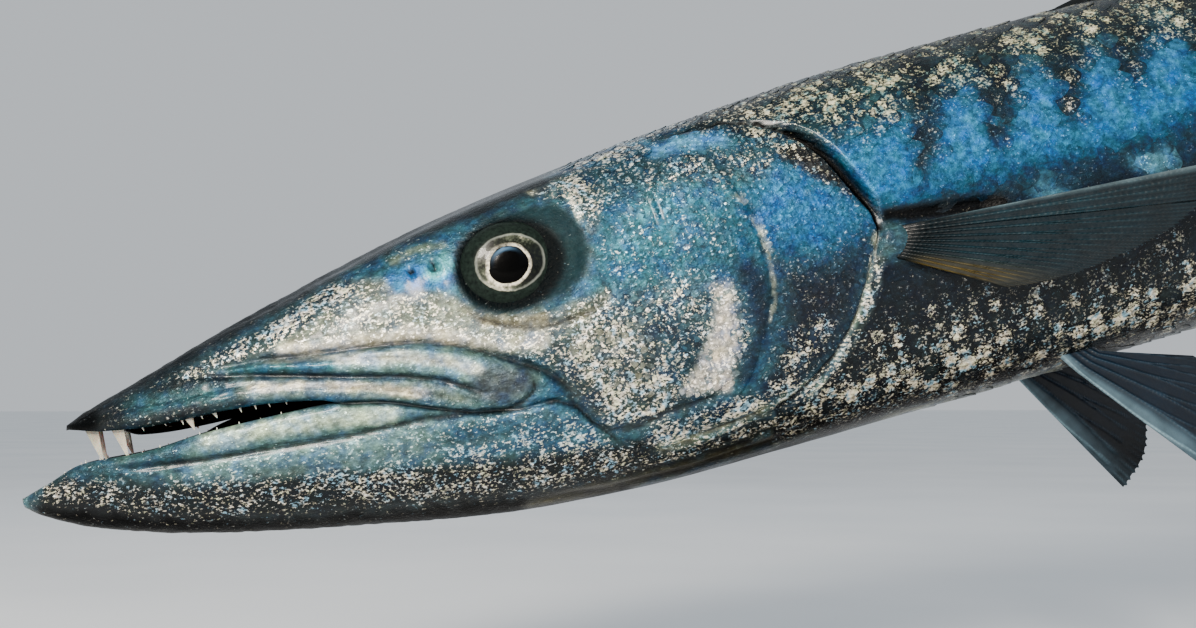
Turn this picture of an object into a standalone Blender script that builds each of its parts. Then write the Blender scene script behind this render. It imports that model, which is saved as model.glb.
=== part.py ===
# A great barracuda, life size, as a still museum model held nose-down on a plain display stand.
# The fish is drawn in its own frame: station mm back from the tip of the lower jaw along +X,
# height mm above the body's axis along +Z, and its left side towards -Y. An empty then tilts it.
# Lengths are in millimetres until a mesh is made, where MM turns them into metres.
import math
import random

import bmesh
import bpy
import numpy as np
from mathutils import Matrix, Vector

MM = 0.001
GAP = 0.3                       # clear space between pieces that touch
SIDES = {"left": -1, "right": 1}

# The whole fish and how it is held
STANDARD_LENGTH = 1018.0        # jaw tip to the end of the tail stalk
TOTAL_LENGTH = 1200.0           # jaw tip to the tips of the tail fin
NOSE_DOWN = 15.4                # tilt of the body's axis, degrees
JAW_TIP_HEIGHT = 130.0          # jaw tip above the floor
STATION_OVER_BASE = 580.0       # the body station that stands over the middle of the base

# Body outline: pairs of station and value
TOP = [(-2, -11.5), (3, -4), (17, 8.4), (50, 19.4), (90, 31.4), (172, 50.6), (258, 62.4), (350, 70.4),
       (480, 73.5), (600, 71), (720, 62), (860, 44), (935, 37.5), (1020, 41)]
BOTTOM = [(-2, -15.5), (2, -19.2), (20, -29.4), (53, -41), (106, -54), (180, -67.8), (240, -72),
          (420, -73.6), (560, -72), (640, -67), (720, -59.5), (860, -39.5), (935, -33), (1020, -37)]
HALF_WIDTH = [(-2, 3.2), (3, 6.4), (17, 10.5), (50, 17.5), (90, 24), (130, 30), (183, 36), (240, 42),
              (320, 46.5), (480, 52), (600, 49.5), (720, 42), (860, 27.5), (935, 20), (1020, 7.5)]
WIDEST_HEIGHT = [(-2, -13.5), (17, -6), (90, 0), (183, 5), (320, 0), (480, 0), (1020, 2)]
TOP_SQUARENESS = [(-2, 2), (50, 2.2), (130, 2.6), (183, 2.9), (260, 2.5), (400, 2.2), (1020, 2)]
BELLY_SQUARENESS = [(-2, 2), (90, 2), (240, 2.2), (480, 2.1), (1020, 2)]

# Where the body is parted
SNOUT_START = 16.6              # tip of the upper jaw
HEAD_END = 285.0
TRUNK_ENDS = [442.0, 640.0, 830.0]

# Mouth, seen from the side
MOUTH_SEAM = [(113, -8.7), (127, -12.2), (140, -17.5), (150, -21.6), (160, -25.2), (178, -28)]
UPPER_LIP = [(18, 8.6), (31, 4), (50, 0.8), (78, -0.8), (106, -5.8)] + MOUTH_SEAM
LOWER_LIP = [(-10, -11.6), (0, -10.9), (8, -9.2), (21, -5.6), (45, -7.2), (64, -6.2), (98, -7.1)] + MOUTH_SEAM
MOUTH_STEP = 6.0                # spacing of the points along the mouth's line
JAW_JOINT = [(187, -28), (194, -32.5), (200, -41), (205, -46), (207, -53), (206, -60)]
THROAT_HEIGHT = -60.0
LIP_BAND_UPPER = [(26, 4), (45, 5.5), (78, 7), (106, 8), (135, 7), (148, 4)]
LIP_BAND_LOWER = [(8, 3), (34, 5), (60, 8), (95, 11), (131, 8), (146, 2)]
LIP_PROUD = 1.3
LIP_EDGE_SUNK = 0.25            # the band's edges start this far under the skin
LIP_DEPTH = 4.0                 # how far the lip's root reaches into the jaw
MOUTH_HOLLOW = (8.0, 116.0)     # stations
MOUTH_HOLLOW_WIDTH = 0.6        # share of the half width
PALATE_RISE = 6.0               # height of the hollow above the upper lip
FLOOR_DROP = 7.0                # and below the lower lip
SNOUT_WALL = 5.0                # least thickness of the snout above the hollow

# Side plates of the head
MAXILLA = [(72, 13.5), (90, 13.4), (117, 9.6), (145, 4.8), (157, 0.4), (168, -5.6), (179, -13),
           (182, -18), (179.5, -23), (174, -25), (162, -23.2), (156, -17.5), (149, -10),
           (135, -4.7), (118, 0.2), (101, 5.2), (85, 9.7)]
CHEEK = [(209, -50), (203, -40), (195, -27), (188, -17), (176, -8), (160, 2), (166, 5.5), (185, 4.5),
         (204, 11.5), (217, 25), (230, 39), (248, 46), (266, 42), (271.5, 25), (273.6, 4),
         (272, -8), (267, -23.5), (259, -37), (251, -47), (238, -52.5), (222, -55)]
GILL_COVER = [(222, -50), (244, -38), (260, 0), (257, 36), (264, 52), (277, 55.8), (290, 51.4), (303.5, 39.8),
              (311.6, 24.7), (315, 16.9), (318.6, 12), (319.8, 2.9), (316.5, -4.9), (307, -22),
              (293, -38.5), (274, -50.4), (262, -54.6), (247, -58), (231, -59)]
PLATE_DEPTH = 5.0
PLATE_PROUD = {"maxilla": [(70, 0.1), (110, 1.3), (185, 1.8)],
               "cheek": [(160, 0.1), (215, 0.6), (275, 1.5)],
               "gill_cover": [(222, 0.3), (270, 0.6), (320, 1.9)]}

# Eye and nostrils
EYE_CENTRE = (183.0, 24.6)
EYE_HALF = (18.6, 9.0, 16.2)    # along the head, sideways, up
EYE_SUNK = 5.2                  # middle of the eye below the skin
ORBIT_RIM = 2.4                 # thickness of the raised rim
NOSTRILS = [(148.5, 30.5, 1.5), (157.0, 30.0, 2.3)]     # station, height, half size

# Teeth: station, length below the gum, half width along the jaw at the root
FANGS = [(27.0, 8.8, 2.7), (35.5, 8.4, 2.6), (60.0, 5.2, 2.4), (69.0, 2.8, 1.8)]
SIDE_TOOTH_STATIONS = (44.0, 108.0)
SIDE_TOOTH_STEP = 9.0
SIDE_TOOTH_LENGTH = (1.4, 2.2)
SIDE_TOOTH_HALF = 1.3
LOWER_TOOTH_STATIONS = (22.0, 90.0)
TOOTH_ROOT = 3.0
TOOTH_FLATNESS = 0.6            # thickness across the jaw as a share of the width along it
TOOTH_TIP = 0.34                # width of a tip as a share of its root
TOOTH_LEAN = 0.9                # how far a tip leans back
TOOTH_CLEAR = 0.9               # least space between a tooth's tip and the other jaw

# Fins: the surface of each is a fan of rays, each ray a ridge on its membrane
RAY_HALF = 1.5                  # half thickness of a ray at its root
PAIRED_RAY_HALF = 1.2
MEMBRANE_HALF = 0.8
EDGE_HALF = 0.28                # half thickness at the fin's outer edge
TAIL_RAYS = 10                  # in each lobe
TAIL_HALF_SPAN = 138.0          # middle line to the tip of a lobe
TAIL_FORK = 78.0                # depth of the fin on the middle line
TAIL_WAVE = 9.0                 # how far the rear edge bulges beside the middle line
TAIL_RAY_HALF = 1.2
TAIL_MEMBRANE_HALF = 0.56
TAIL_ROOT_HALF = 4.2            # where the stalk's skin runs out over the rays
TAIL_SKIN_SHARE = 0.2           # share of the rays' length that this skin covers

# Stand
BASE_SIZE = (560.0, 200.0, 18.0)
ROD_STATIONS = {"front": 530.0, "rear": 690.0}
ROD_RADIUS = 5.0
COLLAR_RADIUS = 15.0
COLLAR_HEIGHT = 10.0
STAND_SIDES = 20                # flat sides that stand in for each round piece
BASE_CORNER = 34.0              # radius of the base's corners
BASE_EDGE = 3.0                 # rounding of its upper rim
COLLAR_BORE_WALL = 3.0          # collar's wall at its top
CUP_RADIUS = 13.0
CUP_HEIGHT = 16.0               # below the lowest point of the belly over the rod
CUP_HOLD = 12.0                 # and above it, before the body's form is cut away
CUP_TAPER = 9.0                 # height over which the cup widens from the rod

# Looks: colour, roughness, metallic
FINISHES = {
    "head_skin": ((0.16, 0.22, 0.24), 0.35, 0.3),
    "jaw_skin": ((0.45, 0.52, 0.50), 0.35, 0.3),
    "plate_skin": ((0.50, 0.58, 0.60), 0.30, 0.4),
    "throat_skin": ((0.42, 0.40, 0.28), 0.45, 0.0),
    "flank_skin": ((0.34, 0.44, 0.50), 0.32, 0.4),
    "fin_skin": ((0.14, 0.18, 0.20), 0.45, 0.0),
    "eye": ((0.55, 0.54, 0.45), 0.08, 0.0),
    "steel": ((0.60, 0.60, 0.61), 0.25, 1.0),
    "wood": ((0.10, 0.06, 0.04), 0.40, 0.0),
}


def profile(points):
    """Smooth function through (station, value) pairs that never swings past them."""
    xs, ys = (np.array(column, float) for column in zip(*points))
    steps = np.diff(ys) / np.diff(xs)
    slopes = np.concatenate([steps[:1], np.zeros(len(xs) - 2), steps[-1:]])
    for i in range(1, len(xs) - 1):
        before, after = steps[i - 1], steps[i]
        if before * after > 0:
            slopes[i] = 2 * before * after / (before + after)

    def value(x):
        i = int(np.clip(np.searchsorted(xs, x) - 1, 0, len(xs) - 2))
        span = xs[i + 1] - xs[i]
        t = min(max((x - xs[i]) / span, 0.0), 1.0)
        return float(ys[i] * (2 * t**3 - 3 * t**2 + 1) + ys[i + 1] * (3 * t**2 - 2 * t**3)
                     + slopes[i] * span * (t**3 - 2 * t**2 + t) + slopes[i + 1] * span * (t**3 - t**2))

    return value


top_at = profile(TOP)
bottom_at = profile(BOTTOM)
half_width_at = profile(HALF_WIDTH)
widest_at = profile(WIDEST_HEIGHT)
top_square_at = profile(TOP_SQUARENESS)
belly_square_at = profile(BELLY_SQUARENESS)
upper_lip_at = profile(UPPER_LIP)
lower_lip_at = profile(LOWER_LIP)


def mouth_line(station, upper):
    """Height of the edge of one jaw, which keeps clear of the other where the mouth is shut."""
    if upper:
        return upper_lip_at(station) + GAP / 2
    return min(lower_lip_at(station), upper_lip_at(station)) - GAP / 2


def mouth_edge(upper):
    """Side-view points along the edge of one jaw, from the front to the jaw joint."""
    start = UPPER_LIP[0][0] if upper else LOWER_LIP[0][0]
    count = round((MOUTH_SEAM[-1][0] - start) / MOUTH_STEP)
    stations = np.linspace(start, MOUTH_SEAM[-1][0], count)
    shift = GAP / 2 if upper else -GAP / 2
    edge = [(station, mouth_line(station, upper)) for station in stations]
    return edge + [(station + shift, height + shift) for station, height in JAW_JOINT]


def section_point(station, turn, grow=0.0):
    """Point of the skin at a station. turn runs 0 at the back, 0.5 at the belly, then up the right side."""
    angle = turn * math.tau
    side, up = math.sin(angle), math.cos(angle)
    middle = widest_at(station)
    reach = top_at(station) - middle if up >= 0 else middle - bottom_at(station)
    square = top_square_at(station) if up >= 0 else belly_square_at(station)
    y = -(half_width_at(station) + grow) * math.copysign(abs(side) ** (2 / square), side)
    z = middle + (reach + grow) * math.copysign(abs(up) ** (2 / square), up)
    return y, z


def skin_width(station, height):
    """Half width of the body at a station and height."""
    middle = widest_at(station)
    above = height >= middle
    reach = top_at(station) - middle if above else middle - bottom_at(station)
    square = top_square_at(station) if above else belly_square_at(station)
    share = min(abs(height - middle) / reach, 1.0)
    return half_width_at(station) * (1 - share**square) ** (1 / square)


def skin_normal(station, height, side):
    """Outward unit normal of the skin on one side."""
    step = 1.0
    along = (skin_width(station + step, height) - skin_width(station - step, height)) / (2 * step)
    rise = (skin_width(station, height + step) - skin_width(station, height - step)) / (2 * step)
    return Vector((-along, side, -rise)).normalized()


def on_skin(station, height, side, out=0.0):
    """Point on one side of the skin, moved outwards by out."""
    point = Vector((station, side * skin_width(station, height), height))
    return point + skin_normal(station, height, side) * out


def new_collection(name):
    collection = bpy.data.collections.new(name)
    bpy.context.scene.collection.children.link(collection)
    return collection


def clear_scene():
    for thing in list(bpy.data.objects):
        bpy.data.objects.remove(thing, do_unlink=True)


def finish_material(finish, name):
    colour, roughness, metallic = FINISHES[finish]
    material = bpy.data.materials.new(name)
    material.use_nodes = True
    shader = material.node_tree.nodes["Principled BSDF"]
    shader.inputs["Base Color"].default_value = (*colour, 1.0)
    shader.inputs["Roughness"].default_value = roughness
    shader.inputs["Metallic"].default_value = metallic
    return material


def object_from(mesh_data, name, collection, origin=(0, 0, 0), parent=None):
    """Turns a bmesh in millimetres into an object in metres whose origin is at the given point."""
    mesh = bpy.data.meshes.new(name)
    bmesh.ops.translate(mesh_data, verts=mesh_data.verts, vec=-Vector(origin))
    bmesh.ops.scale(mesh_data, verts=mesh_data.verts, vec=(MM, MM, MM))
    bmesh.ops.recalc_face_normals(mesh_data, faces=mesh_data.faces)
    mesh_data.to_mesh(mesh)
    mesh_data.free()
    made = bpy.data.objects.new(name, mesh)
    made.location = Vector(origin) * MM
    made.parent = parent
    collection.objects.link(made)
    return made


def loft(rings):
    """Closed solid through a list of rings that all have the same number of points."""
    made = bmesh.new()
    rows = [[made.verts.new(point) for point in ring] for ring in rings]
    count = len(rows[0])
    for row, following in zip(rows, rows[1:]):
        for i in range(count):
            j = (i + 1) % count
            made.faces.new((row[i], row[j], following[j], following[i]))
    made.faces.new(rows[0])
    made.faces.new(rows[-1])
    return made


def body_length(start, end, step, segments, grow=lambda station: 0.0, crowding=1.0):
    """Closed length of the body's form. crowding over 1 sets its rings closer at the start."""
    count = max(2, round((end - start) / step) + 1)
    rings = []
    for station in start + (end - start) * np.linspace(0, 1, count) ** crowding:
        ring = [section_point(station, i / segments, grow(station)) for i in range(segments)]
        rings.append([(station, y, z) for y, z in ring])
    return loft(rings)


def grown_outline(points, out):
    """A closed outline whose sides are moved outwards by a small distance."""
    ring = np.array(points, float)
    edge = np.roll(ring, -1, 0) - ring
    normal = np.stack([edge[:, 1], -edge[:, 0]], 1) / np.linalg.norm(edge, axis=1)[:, None]
    area = np.sum(ring[:, 0] * np.roll(ring[:, 1], -1) - np.roll(ring[:, 0], -1) * ring[:, 1])
    before = np.roll(normal, 1, 0)
    sharpness = np.maximum(1 + np.sum(normal * before, axis=1), 0.35)
    moved = ring + (normal + before) / sharpness[:, None] * math.copysign(out, area)
    return [tuple(point) for point in moved]


def outline_solid(points, y_start, y_end):
    """A flat side-view outline with thickness across the body."""
    made = bmesh.new()
    near = [made.verts.new((x, y_start, z)) for x, z in points]
    face = made.faces.new(near)
    lifted = bmesh.ops.extrude_face_region(made, geom=[face])
    moved = [item for item in lifted["geom"] if isinstance(item, bmesh.types.BMVert)]
    bmesh.ops.translate(made, verts=moved, vec=(0, y_end - y_start, 0))
    return made


def apply_modifiers(thing):
    graph = bpy.context.evaluated_depsgraph_get()
    mesh = bpy.data.meshes.new_from_object(thing.evaluated_get(graph))
    thing.modifiers.clear()
    thing.data = mesh


def boolean(thing, operation, operand):
    """Joins, cuts or keeps what is common with an object or a collection, and removes the operands."""
    modifier = thing.modifiers.new(operation.lower(), "BOOLEAN")
    modifier.operation = operation
    modifier.solver = "EXACT"
    if isinstance(operand, bpy.types.Collection):
        modifier.operand_type = "COLLECTION"
        modifier.collection = operand
        used = list(operand.objects)
    else:
        modifier.object = operand
        used = [operand]
    bpy.context.view_layer.update()
    apply_modifiers(thing)
    for one in used:
        bpy.data.objects.remove(one, do_unlink=True)
    if isinstance(operand, bpy.types.Collection):
        bpy.data.collections.remove(operand)


def keep_largest(thing):
    """Keeps only the largest closed surface of a mesh."""
    made = bmesh.new()
    made.from_mesh(thing.data)
    left = set(made.faces)
    shells = []
    while left:
        front = [left.pop()]
        shell = set(front)
        while front:
            face = front.pop()
            for edge in face.edges:
                for other in edge.link_faces:
                    if other in left:
                        left.discard(other)
                        shell.add(other)
                        front.append(other)
        shells.append(shell)
    largest = max(shells, key=lambda shell: sum(face.calc_area() for face in shell))
    extra = [face for face in made.faces if face not in largest]
    bmesh.ops.delete(made, geom=extra, context="FACES")
    bmesh.ops.dissolve_degenerate(made, dist=1e-6, edges=made.edges)
    bmesh.ops.triangulate(made, faces=made.faces)
    made.to_mesh(thing.data)
    made.free()


def set_looks(thing, finish, smooth_angle=40):
    thing.data.materials.clear()
    thing.data.materials.append(finish_material(finish, thing.name + "_finish"))
    thing.data.shade_smooth()
    thing.data.set_sharp_from_angle(angle=math.radians(smooth_angle))


class Workshop:
    """The collections and the tilted empty that every piece is made in."""

    def __init__(self):
        self.parts = new_collection("great_barracuda")
        self.cutters = new_collection("cutters")
        self.fish = bpy.data.objects.new("fish_tilt", None)
        tilt = math.radians(NOSE_DOWN)
        self.fish.location = Vector((-STATION_OVER_BASE * math.cos(tilt), 0, JAW_TIP_HEIGHT)) * MM
        self.fish.rotation_euler = (0, -tilt, 0)
        self.parts.objects.link(self.fish)
        bpy.context.view_layer.update()

    def part(self, made, name, origin):
        return object_from(made, name, self.parts, origin, self.fish)

    def cutter(self, made, name, collection=None):
        cutter = object_from(made, name, collection or self.cutters, (0, 0, 0), self.fish)
        cutter.hide_render = True
        cutter.display_type = "WIRE"
        return cutter


def plate_limits(name):
    outline = {"maxilla": MAXILLA, "cheek": CHEEK, "gill_cover": GILL_COVER}[name]
    stations = [point[0] for point in outline]
    return outline, min(stations) - 6, max(stations) + 6


def side_plate(shop, name, side_name):
    """A thin plate of the head: the body's form within an outline, a little proud of the skin."""
    side = SIDES[side_name]
    outline, start, end = plate_limits(name)
    proud = profile(PLATE_PROUD[name])
    plate = shop.part(body_length(start, end, 9, 44, proud), f"{name}_{side_name}", (start, 0, 0))
    window = shop.cutter(outline_solid(outline, side * 4, side * 80), "window")
    boolean(plate, "INTERSECT", window)
    if name == "gill_cover":
        front = grown_outline(plate_limits("cheek")[0], GAP)
        boolean(plate, "DIFFERENCE", shop.cutter(outline_solid(front, side * 3, side * 90), "front_edge"))
    core = body_length(start - 4, end + 4, 14, 28, lambda station: -PLATE_DEPTH)
    boolean(plate, "DIFFERENCE", shop.cutter(core, "core"))
    keep_largest(plate)
    set_looks(plate, "plate_skin")
    return plate


def plate_recess(shop, name, side, collection):
    """Cutter for the room that a side plate needs in the pieces under it."""
    outline, start, end = plate_limits(name)
    window = outline_solid(grown_outline(outline, GAP), side * 4, side * 80)
    recess = shop.cutter(window, f"{name}_recess_{side}")
    core = body_length(start - 4, end + 4, 14, 28, lambda station: -PLATE_DEPTH - GAP)
    boolean(recess, "DIFFERENCE", shop.cutter(core, "core"))
    keep_largest(recess)
    for owner in list(recess.users_collection):
        owner.objects.unlink(recess)
    collection.objects.link(recess)


def lip_band(band, side, upper):
    """A raised lip along the edge of one jaw: band pairs a station with the lip's height."""
    far_at = profile(band)
    start, end = band[0][0], band[-1][0]
    rings = []
    steps = 4
    for station in np.linspace(start, end, 14):
        sign = 1 if upper else -1
        near = mouth_line(station, upper) + sign * GAP / 2
        far = near + sign * far_at(station)
        fade = math.sin(math.pi * (station - start) / (end - start)) ** 0.4 if start < station < end else 0
        outer = []
        for k in range(steps + 1):
            height = near + (far - near) * k / steps
            bulge = LIP_PROUD * fade * math.sin(math.pi * k / steps) ** 0.6
            outer.append(on_skin(station, height, side, bulge - LIP_EDGE_SUNK))
        inner = []
        for height in (far, near):
            inner.append((station, side * (skin_width(station, height) - LIP_DEPTH), height))
        rings.append(outer + inner)
    return loft(rings)


def tooth(station, gum_height, length, half, side, down, lean=0.0):
    """One dagger tooth, flattened across the jaw, with its root sunk in the gum."""
    made = bmesh.new()
    bmesh.ops.create_cone(made, cap_ends=True, segments=6, radius1=half, radius2=half * TOOTH_TIP,
                          depth=length + TOOTH_ROOT)
    bmesh.ops.scale(made, verts=made.verts, vec=(1, TOOTH_FLATNESS, 1))
    for vert in made.verts:
        along = (vert.co.z + (length + TOOTH_ROOT) / 2) / (length + TOOTH_ROOT)
        vert.co.x += lean * along**2
    if down:
        bmesh.ops.rotate(made, verts=made.verts, cent=(0, 0, 0), matrix=Matrix.Rotation(math.pi, 3, "X"))
    sign = -1 if down else 1
    inset = max(skin_width(station, gum_height) - 2.4, 1.5)
    middle = (station, side * inset, gum_height + sign * (length - TOOTH_ROOT) / 2)
    bmesh.ops.translate(made, verts=made.verts, vec=middle)
    return made


def mouth_hollow():
    """Room inside the mouth, between the two rows of teeth."""
    start, end = MOUTH_HOLLOW
    rings = []
    for station in np.linspace(start, end, 9):
        share = (station - start) / (end - start)
        swell = math.sin(math.pi * (0.12 + 0.76 * share)) ** 0.5
        half = max((skin_width(station, -6) - 1.5) * MOUTH_HOLLOW_WIDTH * swell, 1.2)
        roof = min(mouth_line(max(station, SNOUT_START), True) + PALATE_RISE * swell,
                   top_at(station) - SNOUT_WALL)
        floor = mouth_line(station, False) - FLOOR_DROP * swell
        ring = []
        for i in range(12):
            angle = math.tau * i / 12
            ring.append((station, half * math.sin(angle),
                         (roof + floor) / 2 + (roof - floor) / 2 * math.cos(angle)))
        rings.append(ring)
    return loft(rings)


def jaw_teeth(shop, side, upper, collection):
    """The row of teeth on one side of one jaw."""
    draw = random.Random(11 if upper else 23)
    teeth = []
    if upper:
        teeth = [(*fang, 1.0) for fang in FANGS]
    start, end = SIDE_TOOTH_STATIONS if upper else LOWER_TOOTH_STATIONS
    for station in np.arange(start, end, SIDE_TOOTH_STEP):
        low, high = SIDE_TOOTH_LENGTH
        length = low + (high - low) * draw.random()
        teeth.append((station, length, SIDE_TOOTH_HALF, 0.5 if upper else 0.3))
    sign = 1 if upper else -1
    for i, (station, length, half, share) in enumerate(teeth):
        gum = mouth_line(station, upper) + sign * 0.2
        room = mouth_line(station, True) - mouth_line(station, False) - TOOTH_CLEAR
        length = min(length, room * share)
        made = tooth(station, gum, length, half, side, upper, TOOTH_LEAN)
        shop.cutter(made, f"tooth_{i}", collection)


def ellipsoid(centre, half, segments, rings):
    made = bmesh.new()
    bmesh.ops.create_uvsphere(made, u_segments=segments, v_segments=rings, radius=1.0)
    bmesh.ops.rotate(made, verts=made.verts, cent=(0, 0, 0), matrix=Matrix.Rotation(math.pi / 2, 3, "X"))
    bmesh.ops.scale(made, verts=made.verts, vec=half)
    bmesh.ops.translate(made, verts=made.verts, vec=centre)
    return made


def eye_middle(side):
    return on_skin(EYE_CENTRE[0], EYE_CENTRE[1], side, -EYE_SUNK)


def orbit_rim(side):
    """A raised ring of skin round the eye."""
    rings = []
    around, through = 18, 6
    for i in range(around):
        angle = math.tau * i / around
        reach = 1.0 + ORBIT_RIM / EYE_HALF[0] * 0.35
        station = EYE_CENTRE[0] + EYE_HALF[0] * reach * math.cos(angle)
        height = EYE_CENTRE[1] + EYE_HALF[2] * reach * math.sin(angle)
        middle = on_skin(station, height, side, -0.6)
        outward = skin_normal(station, height, side)
        radial = Vector((math.cos(angle), 0, math.sin(angle)))
        ring = []
        for k in range(through):
            turn = math.tau * k / through
            ring.append(middle + outward * ORBIT_RIM * 0.9 * math.sin(turn)
                        + radial * ORBIT_RIM * 1.2 * math.cos(turn))
        rings.append(ring)
    made = bmesh.new()
    rows = [[made.verts.new(point) for point in ring] for ring in rings]
    for i in range(around):
        row, following = rows[i], rows[(i + 1) % around]
        for k in range(through):
            j = (k + 1) % through
            made.faces.new((row[k], row[j], following[j], following[k]))
    return made


def make_eye(shop, side_name):
    middle = eye_middle(SIDES[side_name])
    eye = shop.part(ellipsoid(middle, EYE_HALF, 18, 8), f"eye_{side_name}", middle)
    set_looks(eye, "eye")


def make_head(shop):
    """Skull, snout and upper jaw in one piece, with lips, orbit rims, nostrils and upper teeth."""
    skull = body_length(SNOUT_START, HEAD_END, 10, 36, crowding=1.3)
    head = shop.part(skull, "head", (HEAD_END, 0, 0))
    low = THROAT_HEIGHT + GAP / 2
    outline = [(10, 100), (SNOUT_START, 9.6)] + mouth_edge(True) + [(300, low), (300, 100)]
    boolean(head, "INTERSECT", shop.cutter(outline_solid(outline, -80, 80), "upper_window"))
    added = new_collection("head_added")
    for side in SIDES.values():
        shop.cutter(lip_band(LIP_BAND_UPPER, side, True), f"lip_{side}", added)
        shop.cutter(orbit_rim(side), f"rim_{side}", added)
        for i, (station, height, half) in enumerate(NOSTRILS):
            centre = on_skin(station, height, side, -0.2)
            rim = ellipsoid(centre, (half + 1.4, 1.6, half + 1.2), 7, 4)
            shop.cutter(rim, f"nostril_rim_{i}", added)
    boolean(head, "UNION", added)
    cuts = new_collection("head_cuts")
    shop.cutter(mouth_hollow(), "hollow", cuts)
    for side in SIDES.values():
        socket = tuple(half + GAP for half in EYE_HALF)
        shop.cutter(ellipsoid(eye_middle(side), socket, 18, 8), f"socket_{side}", cuts)
        for i, (station, height, half) in enumerate(NOSTRILS):
            centre = on_skin(station, height, side, 1.4)
            shop.cutter(ellipsoid(centre, (half, 3.4, half), 7, 4), f"nostril_{i}", cuts)
        for name in ("maxilla", "cheek", "gill_cover"):
            plate_recess(shop, name, side, cuts)
    boolean(head, "DIFFERENCE", cuts)
    teeth = new_collection("upper_teeth")
    for side in SIDES.values():
        jaw_teeth(shop, side, True, teeth)
    boolean(head, "UNION", teeth)
    keep_largest(head)
    set_looks(head, "head_skin")


def make_lower_jaw(shop):
    jaw = shop.part(body_length(-2, 214, 10, 36, crowding=1.7), "lower_jaw", (187, 0, -28))
    outline = mouth_edge(False) + [(206, -90), (-10, -90)]
    boolean(jaw, "INTERSECT", shop.cutter(outline_solid(outline, -80, 80), "lower_window"))
    lips = new_collection("lower_lips")
    for side in SIDES.values():
        shop.cutter(lip_band(LIP_BAND_LOWER, side, False), f"lip_{side}", lips)
    boolean(jaw, "UNION", lips)
    boolean(jaw, "DIFFERENCE", shop.cutter(mouth_hollow(), "hollow"))
    teeth = new_collection("lower_teeth")
    for side in SIDES.values():
        jaw_teeth(shop, side, False, teeth)
    boolean(jaw, "UNION", teeth)
    keep_largest(jaw)
    set_looks(jaw, "jaw_skin")


def make_throat(shop):
    """Belly side of the head between the gill covers."""
    throat = shop.part(body_length(200, HEAD_END, 12, 36), "throat", (HEAD_END, 0, THROAT_HEIGHT))
    low, front = THROAT_HEIGHT - GAP / 2, JAW_JOINT[-1][0] + GAP
    outline = [(front, low), (300, low), (300, -90), (front, -90)]
    boolean(throat, "INTERSECT", shop.cutter(outline_solid(outline, -80, 80), "throat_window"))
    keep_largest(throat)
    set_looks(throat, "throat_skin")


def make_trunk(shop):
    names = ["trunk_front", "trunk_middle", "trunk_rear", "tail_stalk"]
    starts = [HEAD_END] + TRUNK_ENDS
    ends = TRUNK_ENDS + [STANDARD_LENGTH]
    for name, start, end in zip(names, starts, ends):
        length = shop.part(body_length(start + GAP, end, 26, 30), name, (start, 0, 0))
        if name == "trunk_front":
            cuts = new_collection("trunk_cuts")
            for side in SIDES.values():
                plate_recess(shop, "gill_cover", side, cuts)
            boolean(length, "DIFFERENCE", cuts)
            keep_largest(length)
        set_looks(length, "flank_skin")


def fin_sheet(columns, rows, place, half_at, normal):
    """A fin as one closed sheet with the same triangles on both faces.
    place(u, v) gives its middle surface, half_at(column, v) its half thickness, u along the base."""
    made = bmesh.new()
    faces = {}
    for sign in (1, -1):
        grid = []
        for i in range(columns):
            line = []
            for j in range(rows):
                u, v = i / (columns - 1), j / (rows - 1)
                line.append(made.verts.new(place(u, v) + normal(u, v) * sign * half_at(i, v)))
            grid.append(line)
        faces[sign] = grid
        for i in range(columns - 1):
            for j in range(rows - 1):
                a, b, c, d = grid[i][j], grid[i + 1][j], grid[i + 1][j + 1], grid[i][j + 1]
                made.faces.new((a, b, c))
                made.faces.new((a, c, d))
    near, far = faces[1], faces[-1]
    for j in range(rows - 1):
        for i in (0, columns - 1):
            made.faces.new((near[i][j], near[i][j + 1], far[i][j + 1], far[i][j]))
    for i in range(columns - 1):
        for j in (0, rows - 1):
            made.faces.new((near[i][j], near[i + 1][j], far[i + 1][j], far[i][j]))
    bmesh.ops.triangulate(made, faces=[face for face in made.faces if len(face.verts) > 3])
    return made


def ray_thickness(root_half=RAY_HALF, spine_first=False):
    """Half thickness of a fin: even columns are rays, odd ones the membrane between them."""
    def half(column, v):
        if column % 2:
            return MEMBRANE_HALF + (EDGE_HALF - MEMBRANE_HALF) * min(1, 1.6 * v)
        stout = 1.25 if spine_first and column == 0 else 1.0
        return root_half * stout + (EDGE_HALF * 1.3 - root_half * stout) * v
    return half


def median_fin(shop, name, root, rays, length_at, angle_at, bow, above, rows=6, root_half=RAY_HALF):
    """A fin on the middle line. Root stations, ray lengths and angles run from front to back."""
    start, end = root
    columns = 2 * rays - 1
    sign = 1 if above else -1

    def place(u, v):
        station = start + (end - start) * u
        base = top_at(station) if above else bottom_at(station)
        angle = math.radians(angle_at(u) - bow * v)
        notch = 1.0 if round(u * (columns - 1)) % 2 == 0 else 0.965
        reach = length_at(u) * v * (notch if v > 0.9 else 1.0)
        return Vector((station + reach * math.cos(angle), 0, base + sign * (GAP + reach * math.sin(angle))))

    made = fin_sheet(columns, rows, place, ray_thickness(root_half), lambda u, v: Vector((0, -1, 0)))
    middle = (start + end) / 2
    height = top_at(middle) if above else bottom_at(middle)
    fin = shop.part(made, name, (middle, 0, height))
    set_looks(fin, "fin_skin", 60)


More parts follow.
